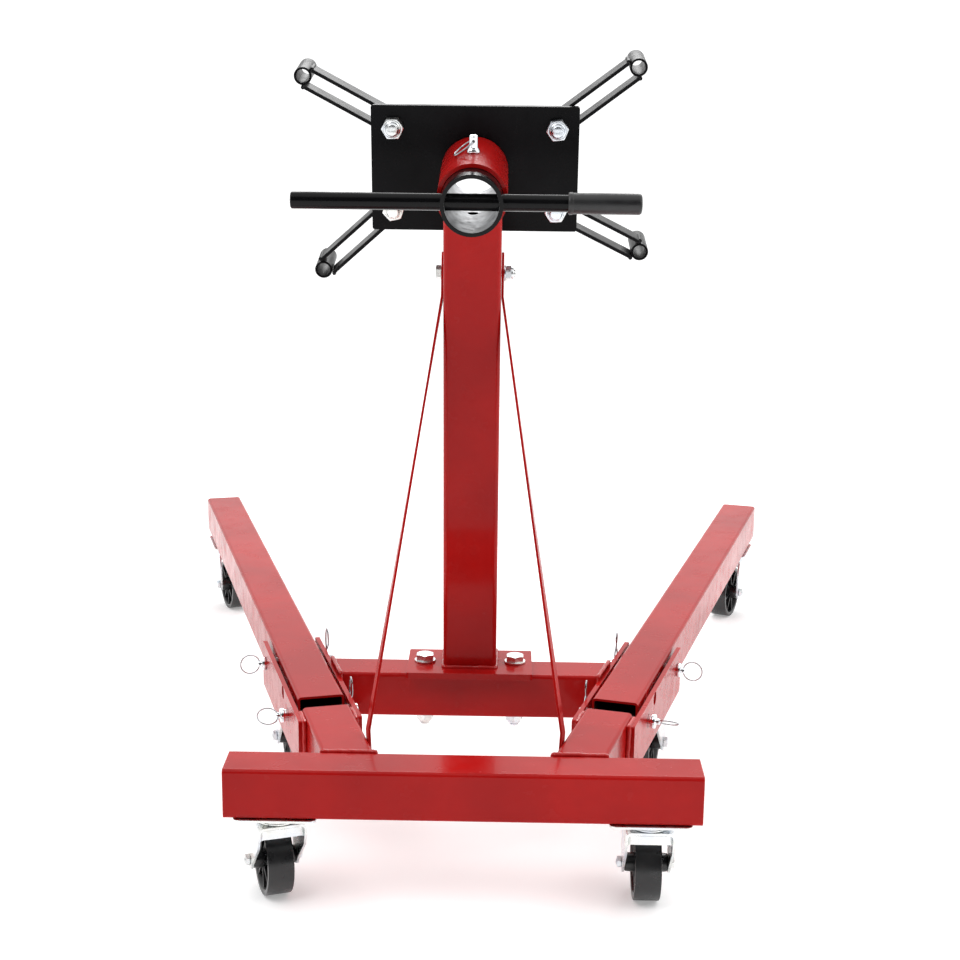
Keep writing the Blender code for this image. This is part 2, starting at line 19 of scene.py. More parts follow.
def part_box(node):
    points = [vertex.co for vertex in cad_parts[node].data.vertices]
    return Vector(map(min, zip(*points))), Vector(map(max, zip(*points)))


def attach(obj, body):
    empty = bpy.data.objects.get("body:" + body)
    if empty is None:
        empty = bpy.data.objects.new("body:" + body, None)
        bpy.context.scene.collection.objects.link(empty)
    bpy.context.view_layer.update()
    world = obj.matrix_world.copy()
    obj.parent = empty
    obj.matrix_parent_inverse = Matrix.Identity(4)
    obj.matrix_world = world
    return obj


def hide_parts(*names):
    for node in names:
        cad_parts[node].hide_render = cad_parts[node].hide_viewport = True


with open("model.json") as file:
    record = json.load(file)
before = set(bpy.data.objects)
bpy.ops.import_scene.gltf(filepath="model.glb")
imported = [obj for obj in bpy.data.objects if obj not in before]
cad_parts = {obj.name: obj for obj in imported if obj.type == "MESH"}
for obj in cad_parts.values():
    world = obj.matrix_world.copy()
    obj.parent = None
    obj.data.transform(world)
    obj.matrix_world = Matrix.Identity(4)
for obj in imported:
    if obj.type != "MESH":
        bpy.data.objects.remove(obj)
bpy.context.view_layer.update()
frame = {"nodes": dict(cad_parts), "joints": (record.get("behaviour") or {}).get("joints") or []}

LOG = logging.getLogger("engine_stand")
RIGHT, AWAY, UP = Vector((1, 0, 0)), Vector((0, 1, 0)), Vector((0, 0, 1))
SIDES = {"left": -1, "right": 1}
GAP = 0.0003  # between two solids that touch
Colour = tuple[float, float, float]
Profile = Sequence[tuple[float, float]]


# ---- Materials ----


class Graph:
    """The node tree of one material, with short calls for the nodes that the finishes use."""

    def __init__(self, name: str) -> None:
        """Start a material with its shader and its object coordinates."""
        self.material = bpy.data.materials.new(name)
        self.material.use_nodes = True
        self.tree = self.material.node_tree
        self.shader = self.tree.nodes["Principled BSDF"]
        self.place = self.tree.nodes.new("ShaderNodeTexCoord").outputs["Object"]

    def put(self, socket: bpy.types.NodeSocket, value: object) -> None:
        """Link an output to a socket, or set the socket's constant."""
        if isinstance(value, bpy.types.NodeSocket):
            self.tree.links.new(value, socket)
        elif isinstance(value, tuple) and len(value) == 3 and socket.type == "RGBA":
            socket.default_value = (*value, 1.0)
        else:
            socket.default_value = value

    def node(self, kind: str, inputs: dict[object, object], output: object = 0,
             **settings: object) -> bpy.types.NodeSocket:
        """Add a node.

        Args:
            kind: the node's type, without its ShaderNode prefix.
            inputs: the value or output for each input, by name or number.
            output: which output to return.
            settings: properties of the node.

        Returns:
            The chosen output.
        """
        made = self.tree.nodes.new(f"ShaderNode{kind}")
        for name, value in settings.items():
            setattr(made, name, value)
        for name, value in inputs.items():
            self.put(made.inputs[name], value)
        return made.outputs[output]

    def noise(self, scale: float, detail: float = 2.0,
              stretch: tuple[float, float, float] | None = None) -> bpy.types.NodeSocket:
        """Noise of that many features to the metre, drawn out along an axis by stretch."""
        place = self.place
        if stretch:
            place = self.node("Mapping", {"Vector": place, "Scale": stretch})
        return self.node("TexNoise", {"Vector": place, "Scale": scale, "Detail": detail})

    def specks(self, scale: float, size: float) -> bpy.types.NodeSocket:
        """1 inside small round specks, 0 elsewhere."""
        distance = self.node("TexVoronoi", {"Vector": self.place, "Scale": scale}, "Distance")
        return self.span(distance, size * 0.6, size, 1.0, 0.0)

    def span(self, value: bpy.types.NodeSocket, low: float, high: float, to_low: float = 0.0,
             to_high: float = 1.0) -> bpy.types.NodeSocket:
        """The value mapped from one range to another, and kept inside it."""
        return self.node("MapRange", {"Value": value, "From Min": low, "From Max": high,
                                      "To Min": to_low, "To Max": to_high})

    def times(self, first: bpy.types.NodeSocket, second: object) -> bpy.types.NodeSocket:
        """The product of two values."""
        return self.node("Math", {0: first, 1: second}, operation="MULTIPLY")

    def plus(self, first: bpy.types.NodeSocket, second: object) -> bpy.types.NodeSocket:
        """The sum of two values."""
        return self.node("Math", {0: first, 1: second}, operation="ADD")

    def mix(self, share: object, first: object, second: object) -> bpy.types.NodeSocket:
        """The first colour turned into the second by a share."""
        return self.node("Mix", {0: share, 6: first, 7: second}, 2, data_type="RGBA")

    def bump(self, height: bpy.types.NodeSocket, depth: float,
             under: bpy.types.NodeSocket | None = None) -> bpy.types.NodeSocket:
        """Normal of a relief, on top of another."""
        inputs: dict[object, object] = {"Height": height, "Distance": depth, "Strength": 1.0}
        if under is not None:
            inputs["Normal"] = under
        return self.node("Bump", inputs)

    def edge(self) -> bpy.types.NodeSocket:
        """1 on the rounded edges of a piece, 0 on its faces."""
        return self.node("Attribute", {}, "Fac", attribute_name="edge")

    def shade(self, **values: object) -> bpy.types.Material:
        """Set the shader's inputs, named with underscores for spaces, and return the material."""
        for name, value in values.items():
            self.put(self.shader.inputs[name.replace("_", " ")], value)
        return self.material


@dataclass(frozen=True)
class Enamel:
    """Sprayed paint over steel: orange peel, a little drift in tone, and lighter edges, partly
    sparse paint and partly a painted highlight.
    """

    name: str
    slot: str
    colour: Colour
    deep: Colour
    # edge: lighter tint of the rounded edges, partly sparse paint and partly a painted highlight
    edge: Colour
    roughness: float
    coat: float
    peel: float
    dust: float = 0.0

    def material(self) -> bpy.types.Material:
        """Build the paint."""
        g = Graph(self.name)
        drift = g.span(g.noise(7.0, 3.0), 0.35, 0.65)
        tone = g.mix(drift, self.colour, self.deep)
        cloud = g.span(g.noise(90.0, 4.0), 0.40, 0.72, 0.0, 0.22)
        tone = g.mix(cloud, tone, self.deep)
        # Lighter tint on the rounded edges: partly sparse paint, partly a painted highlight.
        edge_wear_and_highlight = g.times(g.edge(), g.span(g.noise(210.0, 3.0), 0.42, 0.60, 0.15, 0.85))
        tone = g.mix(edge_wear_and_highlight, tone, self.edge)
        motes = g.times(g.specks(330.0, 0.13), g.span(g.noise(24.0), 0.45, 0.70, 0.0, self.dust))
        tone = g.mix(motes, tone, (0.55, 0.54, 0.53))
        smear = g.span(g.noise(38.0, 5.0), 0.35, 0.75, -0.05, 0.10)
        matt = g.plus(g.plus(smear, self.roughness), g.times(edge_wear_and_highlight, 0.12))
        peel = g.bump(g.noise(260.0, 1.5), self.peel)
        grit = g.bump(g.specks(520.0, 0.10), self.peel * 0.12, peel)
        return g.shade(Base_Color=tone, Roughness=matt, Normal=grit, Coat_Weight=self.coat,
                       Coat_Roughness=0.08, Specular_IOR_Level=0.08)


@dataclass(frozen=True)
class Plated:
    """Plated or bare metal: blotches of tint, fine scratches, and lighter edges, partly wear and
    partly a painted highlight.
    """

    name: str
    slot: str
    colour: Colour
    tint: Colour
    roughness: tuple[float, float]
    blotch: float
    scratch: float
    grime: float = 0.0

    def material(self) -> bpy.types.Material:
        """Build the metal."""
        g = Graph(self.name)
        patches = g.noise(self.blotch, 4.0)
        tone = g.mix(g.span(patches, 0.38, 0.66), self.colour, self.tint)
        dirt = g.span(g.noise(self.blotch * 4, 5.0), 0.52, 0.80, 0.0, self.grime)
        tone = g.mix(dirt, tone, (0.10, 0.09, 0.08))
        # Lighter tint on the rounded edges: partly wear, partly a painted highlight.
        tone = g.mix(g.times(g.edge(), 0.25), tone, (0.90, 0.91, 0.92))
        matt = g.span(g.noise(self.blotch * 2.5, 5.0), 0.3, 0.7, *self.roughness)
        matt = g.plus(matt, g.times(dirt, 0.3))
        lines = g.noise(180.0, 3.0, (1.0, 1.0, 9.0))
        relief = g.bump(lines, self.scratch)
        relief = g.bump(g.noise(1100.0, 2.0), self.scratch * 0.5, relief)
        return g.shade(Base_Color=tone, Metallic=1.0, Roughness=matt, Normal=relief)


@dataclass(frozen=True)
class Rubber:
    """Moulded black rubber: fine grain, scuffs, and a trace of dust."""

    name: str
    slot: str
    colour: Colour
    scuff: Colour
    roughness: float
    grain: float
    relief: float

    def material(self) -> bpy.types.Material:
        """Build the rubber."""
        g = Graph(self.name)
        haze = g.span(g.noise(33.0, 5.0), 0.42, 0.74, 0.0, 0.55)
        tone = g.mix(haze, self.colour, self.scuff)
        rub = g.times(g.edge(), g.span(g.noise(140.0, 3.0), 0.45, 0.65, 0.1, 0.8))
        tone = g.mix(rub, tone, self.scuff)
        matt = g.span(g.noise(58.0, 4.0), 0.3, 0.7, self.roughness - 0.08, self.roughness + 0.10)
        grain = g.bump(g.noise(self.grain, 3.0), self.relief)
        pores = g.bump(g.specks(self.grain * 0.7, 0.16), self.relief * 0.8, grain)
        return g.shade(Base_Color=tone, Roughness=matt, Normal=pores)


class Finish(Enum):
    """The finishes of the stand."""

    RED = Enamel("red_spray_paint", "red_enamel", (0.440, 0.008, 0.007), (0.340, 0.006, 0.006),
                 (0.700, 0.110, 0.095), 0.22, 0.15, 0.00004)
    RED_WELD = Enamel("red_weld", "red_enamel", (0.520, 0.016, 0.014), (0.360, 0.010, 0.010),
                      (0.640, 0.060, 0.050), 0.12, 0.60, 0.00008)
    SATIN = Enamel("satin_black_paint", "satin_black", (0.005, 0.005, 0.006),
                   (0.003, 0.003, 0.0035), (0.060, 0.060, 0.062), 0.30, 0.0, 0.00002, 0.08)
    GLOSS = Enamel("gloss_black_paint", "gloss_black", (0.005, 0.005, 0.0055),
                   (0.003, 0.003, 0.0035), (0.045, 0.045, 0.047), 0.14, 0.15, 0.00002, 0.05)
    ZINC = Plated("zinc_plate", "zinc", (0.72, 0.76, 0.81), (0.80, 0.80, 0.76), (0.20, 0.36),
                  30.0, 0.00003, 0.15)
    CHROME = Plated("bright_chrome", "bright_pin", (0.86, 0.87, 0.89), (0.78, 0.80, 0.83),
                    (0.06, 0.16), 40.0, 0.00001, 0.05)
    WIRE = Plated("spring_wire", "bright_pin", (0.34, 0.35, 0.37), (0.46, 0.47, 0.49),
                  (0.14, 0.28), 40.0, 0.00001, 0.10)
    BARE = Plated("bare_tube_bore", "gloss_black", (0.46, 0.47, 0.48), (0.34, 0.34, 0.35),
                  (0.38, 0.58), 45.0, 0.00010, 0.35)
    # Inner walls of the open tubes: dark oxide steel, made darker still as painted shade for the
    # dim inside of each tube.
    DARK = Plated("tube_bore_oxide_and_painted_shade", "red_enamel", (0.070, 0.060, 0.058), (0.110, 0.050, 0.042),
                  (0.50, 0.72), 35.0, 0.00012, 0.60)
    WHEEL = Rubber("moulded_wheel", "wheel_rubber", (0.012, 0.012, 0.013), (0.036, 0.036, 0.036),
                   0.30, 700.0, 0.00002)
    GRIP = Rubber("moulded_grip", "grip_rubber", (0.012, 0.012, 0.013), (0.032, 0.032, 0.033),
                  0.40, 900.0, 0.00003)

    def material(self) -> bpy.types.Material:
        """The finish's material, built once; no CAD material may share its name."""
        return bpy.data.materials.get(self.value.name) or self.value.material()


# ---- Solids ----


def shift(x: float = 0.0, y: float = 0.0, z: float = 0.0) -> Matrix:
    """Matrix of a move."""
    return Matrix.Translation((x, y, z))


def turn(degrees: float, axis: str = "Z") -> Matrix:
    """Matrix of a rotation about an axis."""
    return Matrix.Rotation(math.radians(degrees), 4, axis)


def axes(origin: Vector, x_axis: Vector, y_axis: Vector) -> Matrix:
    """Frame at the origin whose X and Y lie along two directions."""
    made = Matrix((x_axis, y_axis, x_axis.cross(y_axis))).transposed().to_4x4()
    made.translation = origin
    return made


class Solid:
    """A closed mesh while it is being shaped."""

    def __init__(self) -> None:
        """Start with nothing."""
        self.work = bmesh.new()

    @classmethod
    def plate(cls, width: float, depth: float, height: float, corner: float = 0.0,
              holes: Sequence[tuple[float, float, float]] = (), steps: int = 6) -> "Solid":
        """Rectangular slab on Z = 0, centred on Z.

        Args:
            width: size along X.
            depth: size along Y.
            height: size along Z.
            corner: radius of its four upright edges.
            holes: (radius, x, y) of each round hole through it.
            steps: segments of each corner.

        Returns:
            The slab.
        """
        made = cls()
        bmesh.ops.create_grid(made.work, x_segments=1, y_segments=1, size=0.5)
        bmesh.ops.scale(made.work, vec=(width, depth, 1), verts=made.work.verts)
        if corner:
            bmesh.ops.bevel(made.work, geom=made.work.verts[:], offset=corner, segments=steps,
                            profile=0.5, affect="VERTICES", material=-1)
        for radius, x, y in holes:
            bmesh.ops.create_circle(made.work, segments=36, radius=radius, matrix=shift(x, y))
        if holes:
            bmesh.ops.delete(made.work, geom=made.work.faces[:], context="FACES_ONLY")
            bmesh.ops.triangle_fill(made.work, use_beauty=True, edges=made.work.edges[:])
        return made.extrude(height)

    @classmethod
    def polygon(cls, corners: Profile, height: float, radius: float = 0.0) -> "Solid":
        """Slab over a polygon of a few corners, all rounded by the same radius."""
        made = cls()
        made.work.faces.new([made.work.verts.new((x, y, 0)) for x, y in corners])
        if radius:
            bmesh.ops.bevel(made.work, geom=made.work.verts[:], offset=radius, segments=6,
                            profile=0.5, affect="VERTICES", material=-1)
        return made.extrude(height)

    @classmethod
    def tube(cls, size: float, length: float, wall: float, corner: float) -> "Solid":
        """Square tube from Z = 0, open at both ends."""
        made = cls.plate(size, size, length, corner)
        caps = [face for face in made.work.faces if abs(face.normal.z) > 0.9]
        bmesh.ops.delete(made.work, geom=caps, context="FACES_ONLY")
        bmesh.ops.solidify(made.work, geom=made.work.faces[:], thickness=wall)
        return made.outwards()

    @classmethod
    def rod(cls, radius: float, bottom: float, top: float, steps: int = 32) -> "Solid":
        """Cylinder along Z."""
        made = cls()
        bmesh.ops.create_cone(made.work, cap_ends=True, segments=steps, radius1=radius,
                              radius2=radius, depth=top - bottom,
                              matrix=shift(z=(bottom + top) / 2))
        return made

    @classmethod
    def turned(cls, profile: Profile, steps: int = 48, ring: bool = False) -> "Solid":
        """Solid turned about Z from a profile of radius and height.

        Args:
            profile: its points, which start and end on the axis unless it is a ring.
            steps: segments round the axis.
            ring: True if the profile closes on itself clear of the axis.

        Returns:
            The turned solid.
        """
        made = cls()
        points = [made.work.verts.new((radius, 0, height)) for radius, height in profile]
        pairs = zip(points, points[1:] + points[:1] if ring else points[1:])
        edges = [made.work.edges.new(pair) for pair in pairs]
        bmesh.ops.spin(made.work, geom=points + edges, axis=(0, 0, 1), cent=(0, 0, 0),
                       steps=steps, angle=math.tau, use_merge=True)
        bmesh.ops.remove_doubles(made.work, verts=made.work.verts, dist=1e-6)
        return made.outwards()

    @classmethod
    def hexagon(cls, flats: float, bottom: float, top: float, both: bool = False) -> "Solid":
        """Hexagon along Z with the round chamfer of a bolt head on its top, or on both ends."""
        made = cls()
        rim, apothem = flats / 2 * 0.95, flats / 2
        bmesh.ops.create_circle(made.work, cap_ends=True, segments=48, radius=rim,
                                matrix=shift(z=bottom))

        def spread(verts: list[bmesh.types.BMVert], height: float, fall: float) -> None:
            """Push a ring out to the hexagon, lowered by the chamfer where it sticks out."""
            for vert in verts:
                angle = math.atan2(vert.co.y, vert.co.x)
                off = (angle + math.pi / 6) % (math.pi / 3) - math.pi / 6
                reach = apothem / math.cos(off)
                vert.co = (reach * math.cos(angle), reach * math.sin(angle),
                           height + fall * (reach - rim))

        cap = made.work.faces[:]
        slope = math.tan(math.radians(28))
        for height, fall in ((bottom, slope if both else 0.0), (top, -slope), (None, 0.0)):
            grown = bmesh.ops.extrude_face_region(made.work, geom=cap)["geom"]
            cap = [item for item in grown if isinstance(item, bmesh.types.BMFace)]
            verts = [item for item in grown if isinstance(item, bmesh.types.BMVert)]
            if height is not None:
                spread(verts, height, fall)
                continue
            for vert in verts:
                angle = math.atan2(vert.co.y, vert.co.x)
                vert.co = (rim * math.cos(angle), rim * math.sin(angle), top)
        return made.outwards()

    @classmethod
    def wire(cls, points: Sequence[Vector], radius: float, closed: bool = False,
             swell: Callable[[int], float] | None = None, smooth: bool = True) -> "Solid":
        """Round wire along a path.

        Args:
            points: the path.
            radius: of the wire.
            closed: True if it closes on itself.
            swell: factor on the radius at each point.
            smooth: True to curve between the points.

        Returns:
            The wire.
        """
        path = bpy.data.curves.new("path", "CURVE")
        path.dimensions = "3D"
        path.bevel_depth = radius
        path.bevel_resolution = 3
        path.resolution_u = 6
        path.use_fill_caps = True
        spline = path.splines.new("BEZIER" if smooth else "POLY")
        knots = spline.bezier_points if smooth else spline.points
        knots.add(len(points) - 1)
        for index, (knot, point) in enumerate(zip(knots, points)):
            if smooth:
                knot.co = point
                knot.handle_left_type = knot.handle_right_type = "AUTO"
            else:
                knot.co = (*point, 1.0)
            knot.radius = swell(index) if swell else 1.0
        spline.use_cyclic_u = closed
        guide = bpy.data.objects.new("path", path)
        bpy.context.scene.collection.objects.link(guide)
        graph = bpy.context.evaluated_depsgraph_get()
        mesh = bpy.data.meshes.new_from_object(guide.evaluated_get(graph))
        made = cls()
        made.work.from_mesh(mesh)
        bpy.data.objects.remove(guide)
        bpy.data.meshes.remove(mesh)
        bmesh.ops.remove_doubles(made.work, verts=made.work.verts, dist=1e-6)
        return made.outwards()

    def extrude(self, height: float) -> "Solid":
        """Draw the flat face or faces up into a solid."""
        grown = bmesh.ops.extrude_face_region(self.work, geom=self.work.faces[:])["geom"]
        verts = [item for item in grown if isinstance(item, bmesh.types.BMVert)]
        bmesh.ops.translate(self.work, vec=(0, 0, height), verts=verts)
        return self.outwards()

    def outwards(self) -> "Solid":
        """Turn every face outwards."""
        bmesh.ops.recalc_face_normals(self.work, faces=self.work.faces)
        return self

    def at(self, place: Matrix) -> "Solid":
        """Move the whole solid."""
        bmesh.ops.transform(self.work, matrix=place, verts=self.work.verts)
        return self.outwards() if place.determinant() < 0 else self

    def copy(self) -> "Solid":
        """The same solid again."""
        made = Solid()
        made.work.free()
        made.work = self.work.copy()
        return made

    def join(self, *others: "Solid") -> "Solid":
        """Add further closed shapes to the mesh."""
        for other in others:
            mesh = bpy.data.meshes.new("joined")
            other.work.to_mesh(mesh)
            self.work.from_mesh(mesh)
            bpy.data.meshes.remove(mesh)
        return self

    def soften(self, offset: float, segments: int = 2, angle: float = 40.0) -> "Solid":
        """Round each edge sharper than the angle, and mark the new faces for the edge tint, which
        is partly wear and partly a painted highlight.
        """
        limit = math.radians(angle)
        sharp = [edge for edge in self.work.edges
                 if len(edge.link_faces) == 2 and edge.calc_face_angle(0) > limit]
        layers = self.work.faces.layers.float
        layers.get("edge") or layers.new("edge")
        made = bmesh.ops.bevel(self.work, geom=sharp, offset=offset, segments=segments,
                               profile=0.5, affect="EDGES", clamp_overlap=True, material=-1)
        layer = layers.get("edge")
        for face in made["faces"]:
            face[layer] = 1.0
        return self

    def paint(self, inside: Callable[[Vector, Vector], bool], index: int = 1) -> "Solid":
        """Give the faces that pass a test of centre and normal another of the piece's finishes."""
        for face in self.work.faces:
            if inside(face.calc_center_median(), face.normal):
                face.material_index = index
        return self

    def cut(self, *tools: "Solid", operation: str = "DIFFERENCE") -> "Solid":
        """Cut the solid with others, or keep only what they share with it."""
        host = self._stand_in()
        helpers = [tool._stand_in() for tool in tools]
        for helper in helpers:
            step = host.modifiers.new("cut", "BOOLEAN")
            step.operation, step.object, step.solver = operation, helper, "EXACT"
        graph = bpy.context.evaluated_depsgraph_get()
        mesh = bpy.data.meshes.new_from_object(host.evaluated_get(graph))
        self.work.clear()
        self.work.from_mesh(mesh)
        bpy.data.meshes.remove(mesh)
        for made in (host, *helpers):
            bpy.data.meshes.remove(made.data)
        bmesh.ops.remove_doubles(self.work, verts=self.work.verts, dist=1e-6)
        bmesh.ops.dissolve_limit(self.work, angle_limit=math.radians(0.4),
                                 verts=self.work.verts, edges=self.work.edges)
        return self

    def _stand_in(self) -> bpy.types.Object:
        """An object with this mesh, for a modifier to work on."""
        mesh = bpy.data.meshes.new("stand_in")
        self.work.to_mesh(mesh)
        made = bpy.data.objects.new("stand_in", mesh)
        bpy.context.scene.collection.objects.link(made)
        return made

    def piece(self, name: str, body: str, *finishes: Finish,
              replaces: Sequence[str] = ()) -> bpy.types.Object:
        """Finish the solid as a piece of the scene.

        Args:
            name: the piece's name.
            body: the CAD body that carries it.
            finishes: its finishes, each in a material slot of its own, in order.
            replaces: the CAD nodes that it stands for.

        Returns:
            The piece.
        """
        layers = self.work.faces.layers.float
        layers.get("edge") or layers.new("edge")
        open_edges = sum(len(edge.link_faces) != 2 for edge in self.work.edges)
        mesh = bpy.data.meshes.new(name)
        self.work.to_mesh(mesh)
        self.work.free()
        for finish in finishes:
            mesh.materials.append(finish.material())
        mesh.shade_smooth()
        mesh.set_sharp_from_angle(angle=math.radians(50))
        made = bpy.data.objects.new(name, mesh)
        bpy.context.scene.collection.objects.link(made)
        normals = made.modifiers.new("flat_faces", "WEIGHTED_NORMAL")
        normals.keep_sharp = True
        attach(made, body)
        if replaces:
            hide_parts(*replaces)
            off = max(box_gap(made, replaces))
            LOG.info("%s: %d faces, %d open edges, %.1f mm off its CAD box", name,
                     len(mesh.polygons), open_edges, off * 1000)
        else:
            LOG.info("%s: %d faces, %d open edges", name, len(mesh.polygons), open_edges)
        return made


def box_gap(piece: bpy.types.Object, nodes: Sequence[str]) -> list[float]:
    """How far each face of a piece's box lies from that of the CAD nodes it stands for."""
    boxes = [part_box(node) for node in nodes]
    corners = [Vector(corner) for corner in piece.bound_box]
    gaps = []
    for axis in range(3):
        low = min(corner[axis] for corner in corners)
        high = max(corner[axis] for corner in corners)
        gaps.append(abs(low - min(box[0][axis] for box in boxes)))
        gaps.append(abs(high - max(box[1][axis] for box in boxes)))
    return gaps


def bead(path: Sequence[Vector], radius: float, seed: float, closed: bool = False) -> Solid:
    """Weld bead along straight stretches: a rippled, slightly wandering wire.

    Args:
        path: corners of the seam.
        radius: of the bead.
        seed: start of its noise, so that no two beads match.
        closed: True if the seam closes on itself.

    Returns:
        The bead.
    """
    step, ripple = 0.0010, 0.0034
    points: list[Vector] = []
    ends = list(path) + ([path[0]] if closed else [])
    for start, end in zip(ends, ends[1:]):
        count = max(2, round((end - start).length / step))
        points += [start.lerp(end, index / count) for index in range(count)]
    if not closed:
        points.append(ends[-1])
    smooth = points[:]
    for index, point in enumerate(points):
        wander = noise.noise_vector(Vector((index * 0.09 + seed, seed, 0.0))) * radius * 0.22
        smooth[index] = point + wander

    def swell(index: int) -> float:
        """Radius factor: a ripple every few millimetres, and a slow change of size."""
        wave = 0.10 * abs(math.sin(math.pi * index * step / ripple))
        return 0.86 + wave + 0.16 * noise.noise(Vector((index * 0.05, seed, 3.0)))

    return Solid.wire(smooth, radius, closed, swell, smooth=False)


def nut(flats: float, height: float, bore: float, nylon: bool = True) -> Solid:
    """Hex nut on Z = 0 with a washer face, and the collar of a lock nut on top."""
    made = Solid.hexagon(flats, 0.0, height, both=True)
    if nylon:
        rim = flats * 0.44
        profile = [(bore, height - 0.0002), (rim, height - 0.0002), (rim, height + 0.0012),
                   (rim - 0.0006, height + 0.0026), (rim - 0.0020, height + 0.0034),
                   (bore + 0.0008, height + 0.0034), (bore, height + 0.0028)]
        made.join(Solid.turned(profile, 40, ring=True))
    return made


def thread(radius: float, bottom: float, top: float, pitch: float = 0.0015) -> Solid:
    """Threaded end of a bolt: rings of a thread's pitch, and a chamfered tip at the top."""
    depth = pitch * 0.5
    profile: list[tuple[float, float]] = [(0.0, bottom)]
    height = bottom
    while height + pitch < top - 0.0012:
        profile += [(radius - depth, height), (radius, height + pitch * 0.45)]
        height += pitch
    profile += [(radius - depth, height), (radius - depth, top - 0.001),
                (radius - depth - 0.001, top), (0.0, top)]
    return Solid.turned(profile, 32)


def washer(radius: float, bore: float, height: float) -> Solid:
    """Flat washer on Z = 0."""
    profile = [(bore, 0), (radius, 0), (radius, height), (bore, height)]
    return Solid.turned(profile, 48, ring=True).soften(0.0003)


def loop(radius: float, wire: float, stretch: float = 1.0) -> Solid:
    """Split ring in the XY plane, drawn out a little along X."""
    points = [Vector((radius * stretch * math.cos(math.tau * i / 16),
                      radius * math.sin(math.tau * i / 16), 0)) for i in range(16)]
    return Solid.wire(points, wire, closed=True)


# ---- Places that the CAD gives ----


def joint(name: str) -> tuple[Vector, Vector]:
    """Point and axis of a joint; a slide has no point, so its point is the origin."""
    found = next(item for item in frame["joints"] if item["name"] == name)
    return Vector(found.get("pos_m") or (0, 0, 0)), Vector(found["axis"]).normalized()


@dataclass(frozen=True)
class Deck:
    """The deck: the top of the base tubes, with its origin on the rear crossbar's operator face."""

    splay: float = math.radians(15.66)
    side_x: float = 0.1187
    tube: float = 0.060
    wall: float = 0.003
    corner: float = 0.005

    @property
    def origin(self) -> Vector:
        """Middle of the rear crossbar's top edge on the operator's side."""
        low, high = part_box("rear_crossbar")
        return Vector(((low.x + high.x) / 2, low.y, high.z))

    def along(self, side: int) -> Vector:
        """Direction of a leg, away from the operator."""
        return Vector((side * math.sin(self.splay), math.cos(self.splay), 0))

    def outwards(self, side: int) -> Vector:
        """Direction across a leg, away from the middle."""
        return side * self.along(side).cross(UP)

    def point(self, side: int, distance: float, height: float = 0.0) -> Vector:
        """Point over a leg's axis, that far along it."""
        start = self.origin + Vector((side * self.side_x, 0, height))
        return start + self.along(side) * distance

    def lying(self, side: int, distance: float, height: float) -> Matrix:
        """Frame with X along the leg, Y up, and Z across it."""
        return axes(self.point(side, distance, height), self.along(side), UP)


DECK = Deck()


